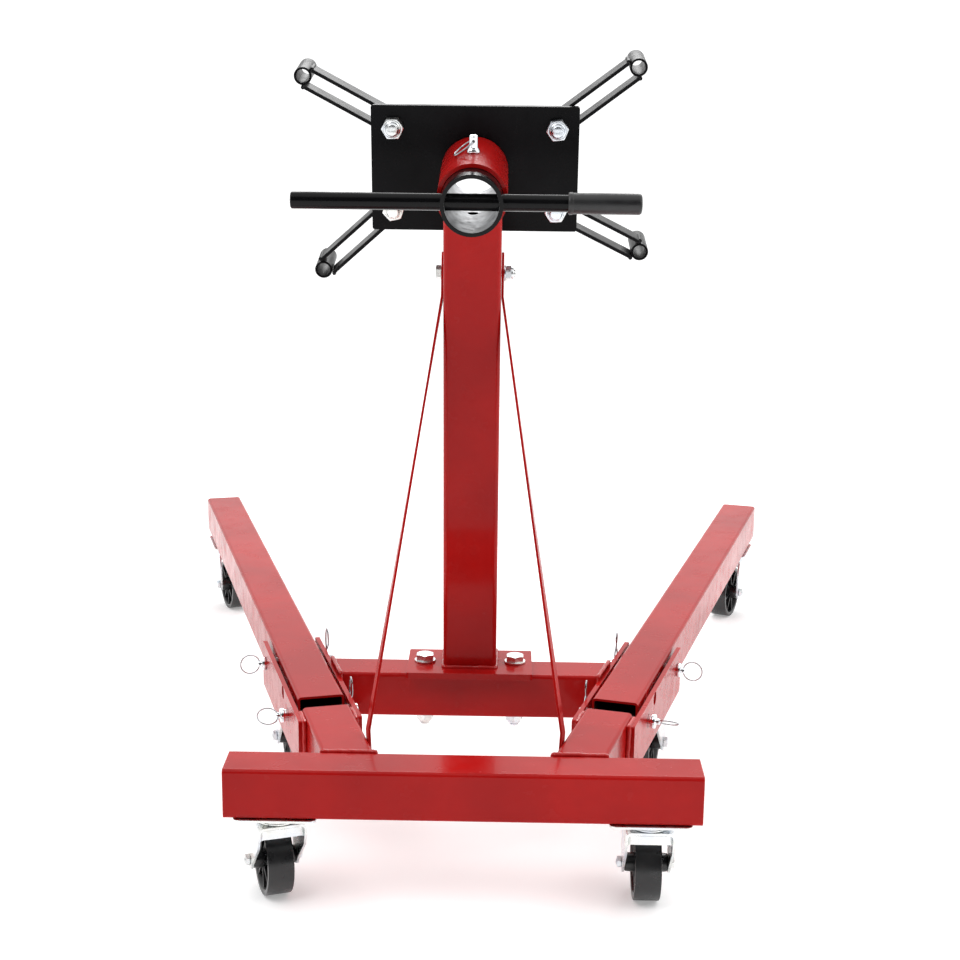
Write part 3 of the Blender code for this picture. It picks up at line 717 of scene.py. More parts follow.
@dataclass
class Base:
    """Crossbars, side tubes, brackets and the welds between them."""

    crossbar: float = 0.550
    side_end: float = 0.217
    mid_y: float = 0.333
    bracket_span: tuple[float, float] = (0.185, 0.505)
    bracket_z: tuple[float, float] = (-0.0695, -0.0055)
    bracket_near: float = 0.034
    bracket_wall: float = 0.006
    hole: float = 0.00875
    hole_places: tuple[tuple[float, float], ...] = ((0.275, -0.030), (0.478, -0.030),
                                                    (0.315, -0.014))
    bolt_x: float = 0.060
    bolt_y: float = 0.361

    def build(self) -> None:
        """Make every piece of the base."""
        self.crossbars()
        for name, side in SIDES.items():
            self.side_tube(name, side)
            self.brackets(name, side)

    def tube(self, length: float) -> Solid:
        """A length of the base's square tube, from Z = 0."""
        return Solid.tube(DECK.tube, length, DECK.wall, DECK.corner)

    def bore(self, point: Vector, normal: Vector, place: Matrix) -> bool:
        """True inside a tube that lies along Z of a frame, but not on its end faces."""
        local = place.inverted() @ point
        inside = max(abs(local.x), abs(local.y)) < DECK.tube / 2 - DECK.wall * 0.6
        return inside and abs(normal.dot(place.col[2].to_3d())) < 0.5

    def crossbars(self) -> None:
        """Rear crossbar, and mid crossbar with slanted ends and two bolt holes."""
        half = DECK.tube / 2
        place = axes(DECK.origin + Vector((-self.crossbar / 2, half, -half)), AWAY, UP)
        rear = self.tube(self.crossbar).soften(0.0005).at(place)
        rear.paint(lambda point, normal: self.bore(point, normal, place))
        rear.piece("rear_crossbar_tube", "frame", Finish.RED, Finish.DARK,
                   replaces=["rear_crossbar"])

        reach = self.bracket_near + self.bracket_wall + GAP
        middle_y = self.mid_y + half
        tan, cos = math.tan(DECK.splay), math.cos(DECK.splay)
        place = axes(DECK.origin + Vector((0, middle_y, -half)), AWAY, UP)
        mid = self.tube(self.crossbar).at(shift(z=-self.crossbar / 2))
        for vert in mid.work.verts:
            end = DECK.side_x + (middle_y + vert.co.x) * tan - reach / cos
            vert.co.z = math.copysign(end, vert.co.z)
        drills = [Solid.rod(0.0075, -0.05, 0.05).at(
            place.inverted() @ shift(*(DECK.origin + Vector((x, self.bolt_y, -half)))))
            for x in (-self.bolt_x, self.bolt_x)]
        mid.cut(*drills).soften(0.0005).at(place)
        mid.paint(lambda point, normal: self.bore(point, normal, place))
        mid.piece("mid_crossbar_tube", "frame", Finish.RED, Finish.DARK,
                  replaces=["mid_crossbar"])
        beads = Solid()
        for side in (-1, 1):
            ends = [DECK.origin + Vector((side * (DECK.side_x + y * tan - reach / cos), y, z))
                    for y, z in ((self.mid_y, 0), (self.mid_y + DECK.tube, 0),
                                 (self.mid_y + DECK.tube, -DECK.tube), (self.mid_y, -DECK.tube))]
            beads.join(bead(ends, 0.0030, 3.1 + side, closed=True))
        beads.piece("mid_crossbar_welds", "frame", Finish.RED_WELD)

    def side_tube(self, name: str, side: int) -> None:
        """Stub of tube from the rear crossbar, with the weld round its root."""
        sin, cos = side * math.sin(DECK.splay), math.cos(DECK.splay)
        place = axes(DECK.point(side, 0, -DECK.tube / 2), UP.cross(DECK.along(side)), UP)
        made = self.tube(self.side_end)
        for vert in made.work.verts:
            if vert.co.z < 0.001:
                vert.co.z = (DECK.tube + GAP - vert.co.x * sin) / cos
        made.soften(0.0005).at(place)
        made.paint(lambda point, normal: self.bore(point, normal, place))
        made.piece(f"side_tube_{name}_tube", "frame", Finish.RED, Finish.DARK,
                   replaces=[f"side_tube_{name}"])
        half = DECK.tube / 2 / cos
        middle = DECK.side_x + DECK.tube * math.tan(DECK.splay)
        root = [DECK.origin + Vector((side * middle + x, DECK.tube + 0.0006, z))
                for x, z in ((-half, 0.0), (half, 0.0), (half, -DECK.tube), (-half, -DECK.tube))]
        bead(root, 0.0034, 7.7 * side, closed=True).piece(f"side_tube_{name}_weld", "frame",
                                                           Finish.RED_WELD)

    def brackets(self, name: str, side: int) -> None:
        """Outer and inner bracket plate, with the welds that join them to the side tube."""
        (start, end), (bottom, top) = self.bracket_span, self.bracket_z
        middle, centre_z = (start + end) / 2, (bottom + top) / 2
        holes = [(self.hole, along - middle, z - centre_z) for along, z in self.hole_places]
        welds = Solid()
        for place_name, sign in (("outer", 1), ("inner", -1)):
            near = self.bracket_near if side * sign > 0 else -self.bracket_near - self.bracket_wall
            place = DECK.lying(side, middle, centre_z) @ shift(z=near)
            made = Solid.plate(end - start, top - bottom, self.bracket_wall, 0.003, holes)
            made.soften(0.0007, 3).at(place)
            made.piece(f"bracket_{place_name}_{name}_plate", "frame", Finish.RED,
                       replaces=[f"bracket_{place_name}_{name}"])
            across = side * sign * 0.0322
            lying = DECK.lying(side, 0, 0)
            seam = [lying @ Vector((self.side_end - 0.001, top - 0.001, across)),
                    lying @ Vector((start - 0.001, top - 0.001, across)),
                    lying @ Vector((start - 0.001, -DECK.tube + 0.002, across))]
            welds.join(bead(seam, 0.0036, 11.0 + side * 2 + sign))
        welds.piece(f"bracket_{name}_welds", "frame", Finish.RED_WELD)


@dataclass
class Legs:
    """The two folding legs and the pins that hold them."""

    start: float = 0.2535
    end: float = 1.325
    pivot: float = 0.275
    lock: float = 0.478
    pin_z: float = -0.030
    tip: float = -0.056
    flange: float = 0.0455
    head: float = 0.0512
    ring: float = 0.0132

    def build(self) -> None:
        """Make both legs and their pins."""
        for name, side in SIDES.items():
            self.leg(name, side)
            self.pin("pivot", name, side, self.pivot, 0.004)
            self.pin("lock", name, side, self.lock, 0.0)

    def leg(self, name: str, side: int) -> None:
        """A leg: square tube with two pin holes, open at both ends."""
        place = axes(DECK.point(side, self.start, self.pin_z), UP.cross(DECK.along(side)), UP)
        made = Solid.tube(DECK.tube, self.end - self.start, DECK.wall, DECK.corner)
        drills = [Solid.rod(0.00875, -0.06, 0.06).at(
            shift(z=distance - self.start) @ turn(90, "Y")) for distance in (self.pivot, self.lock)]
        made.cut(*drills).soften(0.0006).at(place)
        inner = DECK.tube / 2 - DECK.wall * 0.6
        back = place.inverted()

        def bore(point: Vector, normal: Vector) -> bool:
            """True inside the tube, but not on its end faces."""
            local = back @ point
            inside = max(abs(local.x), abs(local.y)) < inner
            return inside and abs(normal.dot(place.col[2].to_3d())) < 0.5

        made.paint(bore)
        made.piece(f"leg_{name}_tube", f"leg_{name}", Finish.RED, Finish.DARK,
                   replaces=[f"leg_{name}"])

    def pin(self, kind: str, name: str, side: int, distance: float, proud: float) -> None:
        """A leg pin with its pull ring and spring clip.

        Args:
            kind: pivot or lock.
            name: left or right.
            side: -1 or 1.
            distance: along the leg.
            proud: how far the pin stands out beyond its seat.
        """
        out = DECK.outwards(side)
        place = axes(DECK.point(side, distance, self.pin_z), UP, out.cross(UP))
        seat, head, flange = 0.0403 + proud, self.head + proud, self.flange + proud
        tip = self.tip + proud
        profile = [(0, head), (0.0026, head), (0.0036, head - 0.0006), (0.0041, head - 0.0018),
                   (0.0041, flange + 0.0010), (0.0048, flange + 0.0003), (0.0088, flange),
                   (0.0095, flange - 0.0007), (0.0095, seat + 0.0006), (0.0090, seat),
                   (0.0080, seat), (0.0080, tip + 0.0024), (0.0062, tip + 0.0004),
                   (0.0052, tip), (0, tip)]
        spin = turn(0 if kind == "lock" else 60)
        eye = head - 0.0026
        hole = Solid.rod(0.0012, -0.02, 0.02, 20).at(spin @ shift(z=eye) @ turn(90, "X"))
        clip_z = -0.0455 + proud
        slot = Solid.rod(0.0014, -0.02, 0.02, 20).at(shift(z=clip_z) @ turn(90, "Y"))
        body = f"{kind}_pin_{name}"
        Solid.turned(profile).cut(hole, slot).at(place).piece(
            f"{body}_steel", body, Finish.CHROME, replaces=[body])
        ring = loop(self.ring, 0.00085).at(place @ spin @ shift(z=eye + self.ring)
                                           @ turn(90, "X"))
        ring.piece(f"{body}_ring", body, Finish.WIRE)
        route = [(-14, 0, 0), (-4, 0, 0), (8, 0, 0), (14, -0.2, 0), (19, 1.2, 0), (25, 4.2, 0.2),
                 (33, 5.4, 0.5), (40.5, 4.0, 0.9), (44, 0, 1.2), (40.5, -4.0, 1.5),
                 (33, -5.2, 1.9), (25, -3.6, 2.3), (18.5, 0.6, 2.6), (13.5, 5.2, 2.2),
                 (8.5, 8.2, 1.4), (4.5, 9.4, 1.0), (0, 9.9, 0.9), (-4.5, 9.2, 0.9),
                 (-8.5, 6.6, 0.9), (-11, 6.2, 0.9), (-14.5, 8.6, 0.9)]
        clip = Solid.wire([Vector((x, y, -z)) * 0.001 for x, y, z in route], 0.0011)
        clip.at(place @ shift(z=clip_z)).piece(f"{body}_clip", body, Finish.WIRE)


@dataclass
class Caster:
    """A swivel caster with a pressed fork, a double raceway and a moulded wheel."""

    name: str
    plate_body: str
    plate_size: tuple[float, float] = (0.096, 0.066)
    plate_wall: float = 0.003
    drop: float = -0.0603
    trail: float = 0.026
    axle_z: float = -0.131
    wheel_radius: float = 0.0445
    wheel_half: float = 0.0155
    fork_half: float = 0.029
    fork_sheet: float = 0.003
    crown_depth: float = 0.054
    arch: float = -0.0845

    def build(self) -> None:
        """Make plate, fork, axle and wheel."""
        centre, _ = joint(f"caster_{self.name}_swivel")
        hub, _ = joint(f"wheel_{self.name}_spin")
        centre = Vector((centre.x, centre.y, DECK.origin.z))
        trailing = Vector((hub.x - centre.x, hub.y - centre.y, 0)).normalized()
        self.plate(centre)
        swivel = axes(centre, trailing.cross(UP), trailing)
        self.fork(swivel)
        axle = axes(Vector((hub.x, hub.y, hub.z)), trailing, UP)
        self.axle(axle)
        self.wheel(axle)

    def plate_frame(self, centre: Vector) -> Matrix:
        """The plate's frame: its length lies along the tube that carries it."""
        if self.name.startswith("rear"):
            return axes(centre, RIGHT, AWAY)
        along = DECK.along(-1 if self.name.endswith("left") else 1)
        return axes(centre, along, UP.cross(along))

    def plate(self, centre: Vector) -> None:
        """Top plate with slots for its bolts, and the upper cup of the raceway."""
        length, width = self.plate_size
        place = self.plate_frame(centre)
        made = Solid.plate(length, width, self.plate_wall, 0.008)
        made.at(shift(z=self.drop - self.plate_wall)).soften(0.0005)
        top = self.drop - self.plate_wall
        cup = [(0, top + 0.0005), (0.0275, top + 0.0005), (0.0288, top - 0.0004),
               (0.0290, top - 0.0016), (0.0284, top - 0.0029), (0.0268, top - 0.0033),
               (0.0215, top - 0.0033), (0, top - 0.0033)]
        made.join(Solid.turned(cup, 56))
        for x in (-0.036, 0.036):
            for y in (-0.022, 0.022):
                stud = [(0, top + 0.0002), (0.0052, top + 0.0002), (0.0050, top - 0.0012),
                        (0.0036, top - 0.0026), (0, top - 0.0031)]
                made.join(Solid.turned(stud, 24).at(shift(x, y)))
        made.at(place).piece(f"caster_{self.name}_plate", self.plate_body, Finish.ZINC,
                             replaces=[f"caster_plate_{self.name}"])

    def fork(self, swivel: Matrix) -> None:
        """Pressed fork: a strip bent over the wheel, trimmed to its side view, with its crown."""
        top, half, sheet = -0.0702, self.fork_half, self.fork_sheet
        edge, foot_z = half - 0.0002, -0.146
        strip = Solid()
        outline = [(-edge, foot_z), (-edge, top - 0.0002), (edge, top - 0.0002), (edge, foot_z)]
        points = [strip.work.verts.new((x, -0.06, z)) for x, z in outline]
        edges = [strip.work.edges.new(pair) for pair in zip(points, points[1:])]
        grown = bmesh.ops.extrude_edge_only(strip.work, edges=edges)["geom"]
        bmesh.ops.translate(strip.work, vec=(0, 0.12, 0),
                            verts=[v for v in grown if isinstance(v, bmesh.types.BMVert)])
        folds = [item for item in strip.work.edges if len(item.link_faces) == 2]
        bmesh.ops.bevel(strip.work, geom=folds, offset=0.0075, segments=8, profile=0.5,
                        affect="EDGES", material=-1)
        strip.outwards()
        middle = max(strip.work.faces, key=lambda face: face.calc_center_median().z)
        if middle.normal.z < 0:
            bmesh.ops.reverse_faces(strip.work, faces=strip.work.faces[:])
        bmesh.ops.solidify(strip.work, geom=strip.work.faces[:], thickness=sheet)
        strip.outwards()

        boss, trail = 0.012, self.trail
        lower = [(trail + boss * math.cos(a), self.axle_z + boss * math.sin(a))
                 for a in (math.radians(-170 + 20 * i) for i in range(11))]
        side = [(-0.0270, top + 0.002), (-0.0270, -0.082), (-0.0215, -0.098)] + lower
        side += [(0.0360, -0.104), (0.0345, -0.086), (0.0290, top + 0.002)]
        trim = Solid.polygon(side, 0.10)
        # The outline's X is the trail and its Y is height; its own Z lies across the fork.
        upright = Matrix(((0, 0, 1, -0.05), (1, 0, 0, 0), (0, 1, 0, 0), (0, 0, 0, 1)))
        strip.cut(trim.at(upright), operation="INTERSECT")
        crown = Solid.plate(2 * half, self.crown_depth, top - self.arch + 0.006, 0.012)
        crown.at(shift(z=self.arch - 0.006)).soften(0.0050, 5)
        hollow = Solid.plate(2 * (half - sheet), self.crown_depth - 2 * sheet, 0.030, 0.009)
        tunnel = Solid.plate(2 * (half - sheet), 0.030, 0.080, 0.006)
        crown.cut(hollow.at(shift(z=top - sheet - 0.030)),
                  tunnel.at(shift(y=0.040, z=self.arch - 0.015) @ turn(90, "X")))
        strip.cut(crown, operation="UNION")
        strip.soften(0.0005, 2, 50)
        cup = [(0, top + 0.0030), (0.0216, top + 0.0030), (0.0252, top + 0.0033),
               (0.0266, top + 0.0028), (0.0270, top + 0.0016), (0.0266, top + 0.0004),
               (0.0250, top - 0.0006), (0, top - 0.0006)]
        kingpin = [(0, top - 0.0025), (0.0090, top - 0.0025), (0.0088, top - 0.0042),
                   (0.0062, top - 0.0058), (0, top - 0.0062)]
        strip.join(Solid.turned(cup, 56), Solid.turned(kingpin, 32))
        body = f"caster_{self.name}"
        strip.at(swivel).piece(f"caster_{self.name}_fork", body, Finish.ZINC,
                               replaces=[f"caster_fork_{self.name}"])

    def axle(self, axle: Matrix) -> None:
        """Axle bolt across the fork, with a lock nut on its end."""
        made = Solid.rod(0.0040, -0.0345, 0.0296, 24)
        made.join(Solid.hexagon(0.013, 0.0292, 0.0338))
        made.join(nut(0.013, 0.0049, 0.0040, nylon=False).at(turn(180, "X") @ shift(z=0.0293)))
        made.join(thread(0.0040, 0.0330, 0.0355, 0.0008).at(turn(180, "X")))
        made.at(axle).piece(f"caster_{self.name}_axle", f"caster_{self.name}", Finish.ZINC,
                            replaces=[f"caster_axle_{self.name}"])

    def wheel(self, axle: Matrix) -> None:
        """Wheel: flat tread, recessed sides with ribs, and a hub longer than the tread."""
        rim, radius, hub = self.wheel_half, self.wheel_radius, 0.0254
        side = [(0.0047, hub), (0.0098, hub), (0.0106, hub - 0.0006), (0.0110, hub - 0.0030),
                (0.0116, 0.0096), (0.0132, 0.0084), (0.0352, 0.0084), (0.0364, 0.0092),
                (0.0372, rim - 0.0012), (0.0382, rim - 0.0002), (0.0392, rim),
                (0.0436, rim), (0.0442, rim - 0.0004), (radius, rim - 0.0012),
                (radius, 0.0006), (radius + 0.00012, 0.0)]
        profile = side + [(r, -h) for r, h in reversed(side[:-1])]
        made = Solid.turned(profile, 96, ring=True)
        rib = Solid.plate(0.0244, 0.0020, 0.0110, 0.0006)
        for face in (1, -1):
            for index in range(8):
                spoke = rib.copy().soften(0.0004).at(shift(0.0240, 0, 0.0030))
                made.join(spoke.at(turn(180 if face < 0 else 0, "X") @ turn(45 * index + 10)))
        tube = [(0.0044, hub + 0.0004), (0.0066, hub + 0.0004), (0.0070, hub + 0.0001),
                (0.0070, -hub - 0.0001), (0.0066, -hub - 0.0004), (0.0044, -hub - 0.0004)]
        bush = Solid.turned(tube, 32, ring=True)
        bush.at(axle).piece(f"wheel_{self.name}_bush", f"wheel_{self.name}", Finish.ZINC)
        made.at(axle).piece(f"wheel_{self.name}_tyre", f"wheel_{self.name}", Finish.WHEEL,
                            replaces=[f"caster_wheel_{self.name}"])


@dataclass
class Post:
    """Foot plate, leaning post, collar, braces, index pin and their fastenings."""

    foot: tuple[float, float, float] = (0.0, 0.3694, 0.0142)
    foot_size: tuple[float, float, float] = (0.165, 0.096, 0.008)
    foot_y: float = 0.361
    size: float = 0.070
    head_along: float = 0.640
    behind: float = 0.1003
    collar_radius: float = 0.0415
    collar_span: tuple[float, float] = (0.033, 0.177)
    brace_along: float = 0.531
    bolt_x: float = 0.060

    def __post_init__(self) -> None:
        """Work out the directions of the lean from the head's axis."""
        _, self.axis = joint("head_turn")
        self.rise = RIGHT.cross(self.axis)
        self.start = DECK.origin + Vector(self.foot)
        near = self.start + self.rise * self.head_along - self.axis * self.behind
        self.head = axes(near, -RIGHT, self.rise)

    def build(self) -> None:
        """Make every piece of the post."""
        self.foot_plate()
        self.post()
        self.collar()
        self.index_pin()
        self.braces()

    def foot_plate(self) -> None:
        """Foot plate with its two bolts down through the mid crossbar."""
        width, depth, height = self.foot_size
        place = axes(DECK.origin + Vector((0, self.foot_y, GAP)), RIGHT, AWAY)
        holes = [(0.0075, x, 0) for x in (-self.bolt_x, self.bolt_x)]
        plate = Solid.plate(width, depth, height, 0.003, holes).soften(0.0008, 3)
        plate.at(place).piece("post_foot", "frame", Finish.RED, replaces=["post_foot_plate"])
        top = height + GAP
        for name, side in SIDES.items():
            made = Solid.rod(0.0068, -0.0765, top + 0.004)
            made.join(washer(0.014, 0.0066, 0.0025).at(shift(z=top)))
            made.join(Solid.hexagon(0.022, top + 0.0024, top + 0.0105))
            mark = [(0, top + 0.0100), (0.0070, top + 0.0100), (0.0070, top + 0.0106),
                    (0.0062, top + 0.0106), (0.0058, top + 0.0102), (0, top + 0.0102)]
            made.join(Solid.turned(mark, 40))
            made.join(thread(0.0070, 0.0600, 0.0802).at(turn(180, "X")))
            made.join(washer(0.014, 0.0066, 0.0025).at(shift(z=-0.0631)))
            made.join(nut(0.022, 0.0095, 0.0066).at(shift(z=-0.0631) @ turn(180, "X")))
            made.at(axes(DECK.origin + Vector((side * self.bolt_x, self.foot_y, GAP)),
                         RIGHT, AWAY))
            made.piece(f"base_bolt_{name}_set", "frame", Finish.ZINC,
                       replaces=[f"base_bolt_{name}"])

    def post(self) -> None:
        """Leaning square post, cut level at its foot and scooped under the collar."""
        half, lean = self.size / 2, math.asin(self.axis.z)
        saddle = self.collar_radius + GAP
        top = self.head_along - math.sqrt(saddle ** 2 - half ** 2) + 0.004
        made = Solid.tube(self.size, top, DECK.wall, 0.0065)
        level = self.foot_size[2] + 2 * GAP - self.foot[2]
        for vert in made.work.verts:
            if vert.co.z < 0.001:
                vert.co.z = (level - vert.co.y * math.sin(lean)) / math.cos(lean)
        scoop = Solid.rod(saddle, -0.2, 0.2, 96).at(shift(z=self.head_along) @ turn(90, "X"))
        bolt = Solid.rod(0.0055, -0.05, 0.05).at(shift(z=self.brace_along) @ turn(90, "Y"))
        made.cut(scoop, bolt).soften(0.0006)
        inner = half - DECK.wall * 0.6
        made.paint(lambda point, normal: max(abs(point.x), abs(point.y)) < inner
                   and abs(normal.z) < 0.5)
        made.at(axes(self.start, RIGHT, self.axis))
        made.piece("post_tube", "frame", Finish.RED, Finish.DARK, replaces=["post"])

        low = (level + half * math.sin(lean)) / math.cos(lean)
        high = (level - half * math.sin(lean)) / math.cos(lean)
        frame_post = axes(self.start, RIGHT, self.axis)
        inset = half - 0.001
        foot = [frame_post @ Vector(p) for p in ((-inset, -inset, low), (inset, -inset, low),
                                                 (inset, inset, high), (-inset, inset, high))]
        welds = bead(foot, 0.0040, 21.0, closed=True)
        limit = math.asin(half / self.collar_radius)
        seam: list[Vector] = []
        for forward, order in ((-half, 1), (half, -1)):
            for index in range(13):
                angle = order * limit * (index / 6 - 1)
                seam.append(self.head @ Vector((
                    -self.collar_radius * math.sin(angle), -self.collar_radius * math.cos(angle),
                    self.behind + forward)))
        welds.join(bead(seam, 0.0036, 29.0, closed=True))
        welds.piece("post_welds", "frame", Finish.RED_WELD)

    def collar(self) -> None:
        """Tube that carries the head, with the guide of the index pin on top."""
        near, far = self.collar_span
        bore = 0.0369
        profile = [(bore, near), (self.collar_radius, near), (self.collar_radius, far),
                   (bore, far)]
        made = Solid.turned(profile, 96, ring=True)
        hole = Solid.rod(0.0065, 0.02, 0.06).at(shift(z=0.089) @ turn(-90, "X"))
        made.cut(hole).soften(0.0009, 3)
        made.at(self.head).piece("collar", "frame", Finish.RED, replaces=["collar_tube"])

    def index_pin(self) -> None:
        """Chrome index pin with a cross hole in its head, and its pull ring."""
        seat = self.collar_radius + 2 * GAP
        profile = [(0, 0.0625), (0.0034, 0.0625), (0.0047, 0.0618), (0.0052, 0.0606),
                   (0.0052, 0.0485), (0.0056, 0.0473), (0.0064, 0.0466), (0.0073, 0.0452),
                   (0.0077, 0.0440), (0.0077, seat + 0.0004), (0.0073, seat), (0.0060, seat),
                   (0.0060, 0.0388), (0.0052, 0.0378), (0.0046, 0.0374), (0, 0.0374)]
        place = axes(self.head @ Vector((0, 0, 0.089)), RIGHT, self.axis)
        hole = Solid.rod(0.0019, -0.02, 0.02, 20).at(shift(z=0.0558) @ turn(90, "X"))
        made = Solid.turned(profile).cut(hole).at(place)
        made.piece("index_pin_steel", "index_pin", Finish.CHROME, replaces=["index_pin"])
        ring = loop(0.0135, 0.00115, 1.05)
        ring.at(place @ shift(z=0.0558) @ turn(143, "Y") @ shift(0.0140))
        ring.piece("index_pin_ring", "index_pin", Finish.WIRE)

    def braces(self) -> None:
        """Two flat bars down to the side tubes, and the bolts at their ends."""
        middle = self.start + self.rise * self.brace_along
        width, wall = 0.016, 0.003
        for name, side in SIDES.items():
            top = middle + RIGHT * side * (self.size / 2 + GAP + wall / 2)
            inwards = side * UP.cross(DECK.along(side))
            bottom = DECK.point(side, 0.0975, -0.020)
            bottom += inwards * (DECK.tube / 2 + GAP + wall / 2)
            self.brace(name, top, bottom, RIGHT * side, -inwards, width, wall)
            place = axes(DECK.point(side, 0.0975, -0.020) + inwards * (DECK.tube / 2), UP,
                         inwards.cross(UP))
            head = Solid.hexagon(0.013, 0.0042, 0.0100)
            head.join(washer(0.0085, 0.0035, 0.0011).at(shift(z=0.0034)))
            head.at(place).piece(f"brace_{name}_bolt", "frame", Finish.ZINC)
        outside = self.size / 2 + 2 * GAP + wall
        bolt = Solid.rod(0.0050, -outside - 0.001, outside + 0.010)
        bolt.join(thread(0.0050, outside + 0.006, outside + 0.014, 0.0012))
        bolt.join(Solid.hexagon(0.016, outside, outside + 0.0064).at(turn(180, "X")))
        bolt.join(washer(0.0100, 0.0048, 0.0016).at(shift(z=outside)))
        bolt.join(nut(0.016, 0.0070, 0.0048).at(shift(z=outside + 0.0016)))
        bolt.at(axes(middle, AWAY, UP))
        bolt.piece("brace_bolt_set", "frame", Finish.ZINC, replaces=["brace_bolt"])

    def brace(self, name: str, top: Vector, bottom: Vector, top_normal: Vector,
              bottom_normal: Vector, width: float, wall: float) -> None:
        """Flat bar with round ends, flat on both seats and twisted between them.

        Args:
            name: left or right.
            top: middle of its upper hole.
            bottom: middle of its lower hole.
            top_normal: direction across the bar at the top.
            bottom_normal: direction across the bar at the bottom.
            width: of the bar.
            wall: its thickness.
        """
        rise = (top - bottom).normalized()
        drop_top = (rise - top_normal * rise.dot(top_normal)).normalized()
        drop_bottom = (rise - bottom_normal * rise.dot(bottom_normal)).normalized()
        half = width / 2
        caps = [(half * math.sin(a), math.cos(a)) for a in
                (math.radians(86 - 86 / 8 * i) for i in range(9))]
        rows = [(top + drop_top * (0.018 + past), top_normal, share) for past, share in caps]
        upper, lower = top - drop_top * 0.030, bottom + drop_bottom * 0.030
        for index in range(17):
            part = index / 16
            normal = top_normal.lerp(bottom_normal, part).normalized()
            rows.append((upper.lerp(lower, part), normal, 1.0))
        rows += [(bottom - drop_bottom * (0.006 + past), bottom_normal, share)
                 for past, share in reversed(caps)]
        made = Solid()
        bmesh.ops.create_grid(made.work, x_segments=2, y_segments=len(rows) - 1, size=1)
        for vert in made.work.verts:
            centre, normal, share = rows[round((1 - vert.co.y) / 2 * (len(rows) - 1))]
            across = normal.cross(rise).normalized()
            vert.co = centre + across * vert.co.x * half * share
        made.outwards()
        bmesh.ops.solidify(made.work, geom=made.work.faces[:], thickness=wall)
        made.outwards()
        flat = made.work.faces[:][0].normal
        middle = sum((vert.co for vert in made.work.verts), Vector()) / len(made.work.verts)
        wanted = sum((row[0] for row in rows), Vector()) / len(rows)
        made.at(shift(*(flat * (wanted - middle).dot(flat))))
        made.soften(0.0005)
        made.piece(f"brace_{name}_bar", "frame", Finish.RED, replaces=[f"brace_{name}"])


@dataclass
class Head:
    """Head tube, head plate, turning bar, and the four clamp arms with their bolts."""

    place: Matrix
    rise: Vector
    axis: Vector
    radius: float = 0.0365
    bore: float = 0.03175
    length: float = 0.192
    index_along: float = 0.089
    bar_along: float = 0.018
    bar_radius: float = 0.010
    bar_span: tuple[float, float] = (-0.209, 0.1927)
    grip_span: tuple[float, float] = (0.111, 0.196)
    plate_size: tuple[float, float, float] = (0.256, 0.156, 0.008)
    plate_rear: float = 0.182
    bolt_place: tuple[float, float] = (0.101, 0.051)

    def build(self) -> None:
        """Make every piece of the head."""
        self.tube()
        self.plate()
        self.bar()
        for name in ("upper_left", "upper_right", "lower_left", "lower_right"):
            Arm(name, self.axis).build()

    def tube(self) -> None:
        """Head tube: gloss black outside, bare inside, with its cross and index holes."""
        profile = [(self.bore, 0), (self.radius, 0), (self.radius, self.length),
                   (self.bore, self.length)]
        made = Solid.turned(profile, 96, ring=True)
        tools = [Solid.rod(self.bar_radius + 0.0005, -0.05, 0.05).at(
            shift(z=self.bar_along) @ turn(90, "Y"))]
        tools += [Solid.rod(0.0065, -0.05, 0.05, 24).at(
            shift(z=self.index_along) @ turn(45 * index) @ turn(90, "X")) for index in range(4)]
        made.cut(*tools).soften(0.0007)
        limit = self.bore + 0.0012
        made.paint(lambda point, normal: math.hypot(point.x, point.y) < limit
                   and abs(normal.z) < 0.5)
        made.at(self.place).piece("head_tube_steel", "head", Finish.GLOSS, Finish.BARE,
                                  replaces=["head_tube"])

    def plate(self) -> None:
        """Head plate with four bolt holes, welded round the head tube."""
        width, height, wall = self.plate_size
        x, y = self.bolt_place
        holes = [(self.radius + GAP, 0, 0)] + [(0.0085, i * x, j * y)
                                               for i in (-1, 1) for j in (-1, 1)]
        made = Solid.plate(width, height, wall, 0.003, holes).soften(0.0009, 3)
        made.at(self.place @ shift(z=self.plate_rear))
        made.piece("head_plate_steel", "head", Finish.SATIN, replaces=["head_plate"])
        circle = [self.place @ Vector((self.radius * math.cos(math.tau * i / 48),
                                       self.radius * math.sin(math.tau * i / 48),
                                       self.plate_rear)) for i in range(48)]
        front = [point + self.axis * (self.length - self.plate_rear - 0.0015) for point in circle]
        weld = bead(circle, 0.0034, 41.0, closed=True).join(bead(front, 0.0022, 43.0, closed=True))
        weld.piece("head_plate_weld", "head", Finish.SATIN)

    def bar(self) -> None:
        """Turning bar and its closed rubber grip."""
        low, high = self.bar_span
        radius = self.bar_radius
        place = axes(self.place @ Vector((0, 0, self.bar_along)), self.axis, self.rise)
        profile = [(0, high), (radius - 0.0010, high), (radius, high - 0.0010),
                   (radius, low + 0.0014), (radius - 0.0014, low), (0, low)]
        made = Solid.turned(profile, 48).at(place)
        made.piece("handle_bar_steel", "handle", Finish.GLOSS, replaces=["handle_bar"])
        mouth, end = self.grip_span
        outer, inner = radius + 0.00225, radius + GAP
        lip = outer + 0.0006
        sleeve = [(0, end), (outer - 0.0040, end), (outer - 0.0016, end - 0.0007),
                  (outer - 0.0004, end - 0.0022), (outer, end - 0.0045),
                  (outer, mouth + 0.0064), (outer + 0.0001, mouth + 0.0056),
                  (lip, mouth + 0.0046), (lip + 0.0002, mouth + 0.0026), (lip, mouth + 0.0010),
                  (outer - 0.0002, mouth), (inner, mouth), (inner, end - 0.003),
                  (0, end - 0.003)]
        grip = Solid.turned(sleeve, 48)
        grip.at(place).piece("handle_grip_rubber", "handle", Finish.GRIP,
                             replaces=["handle_grip"])


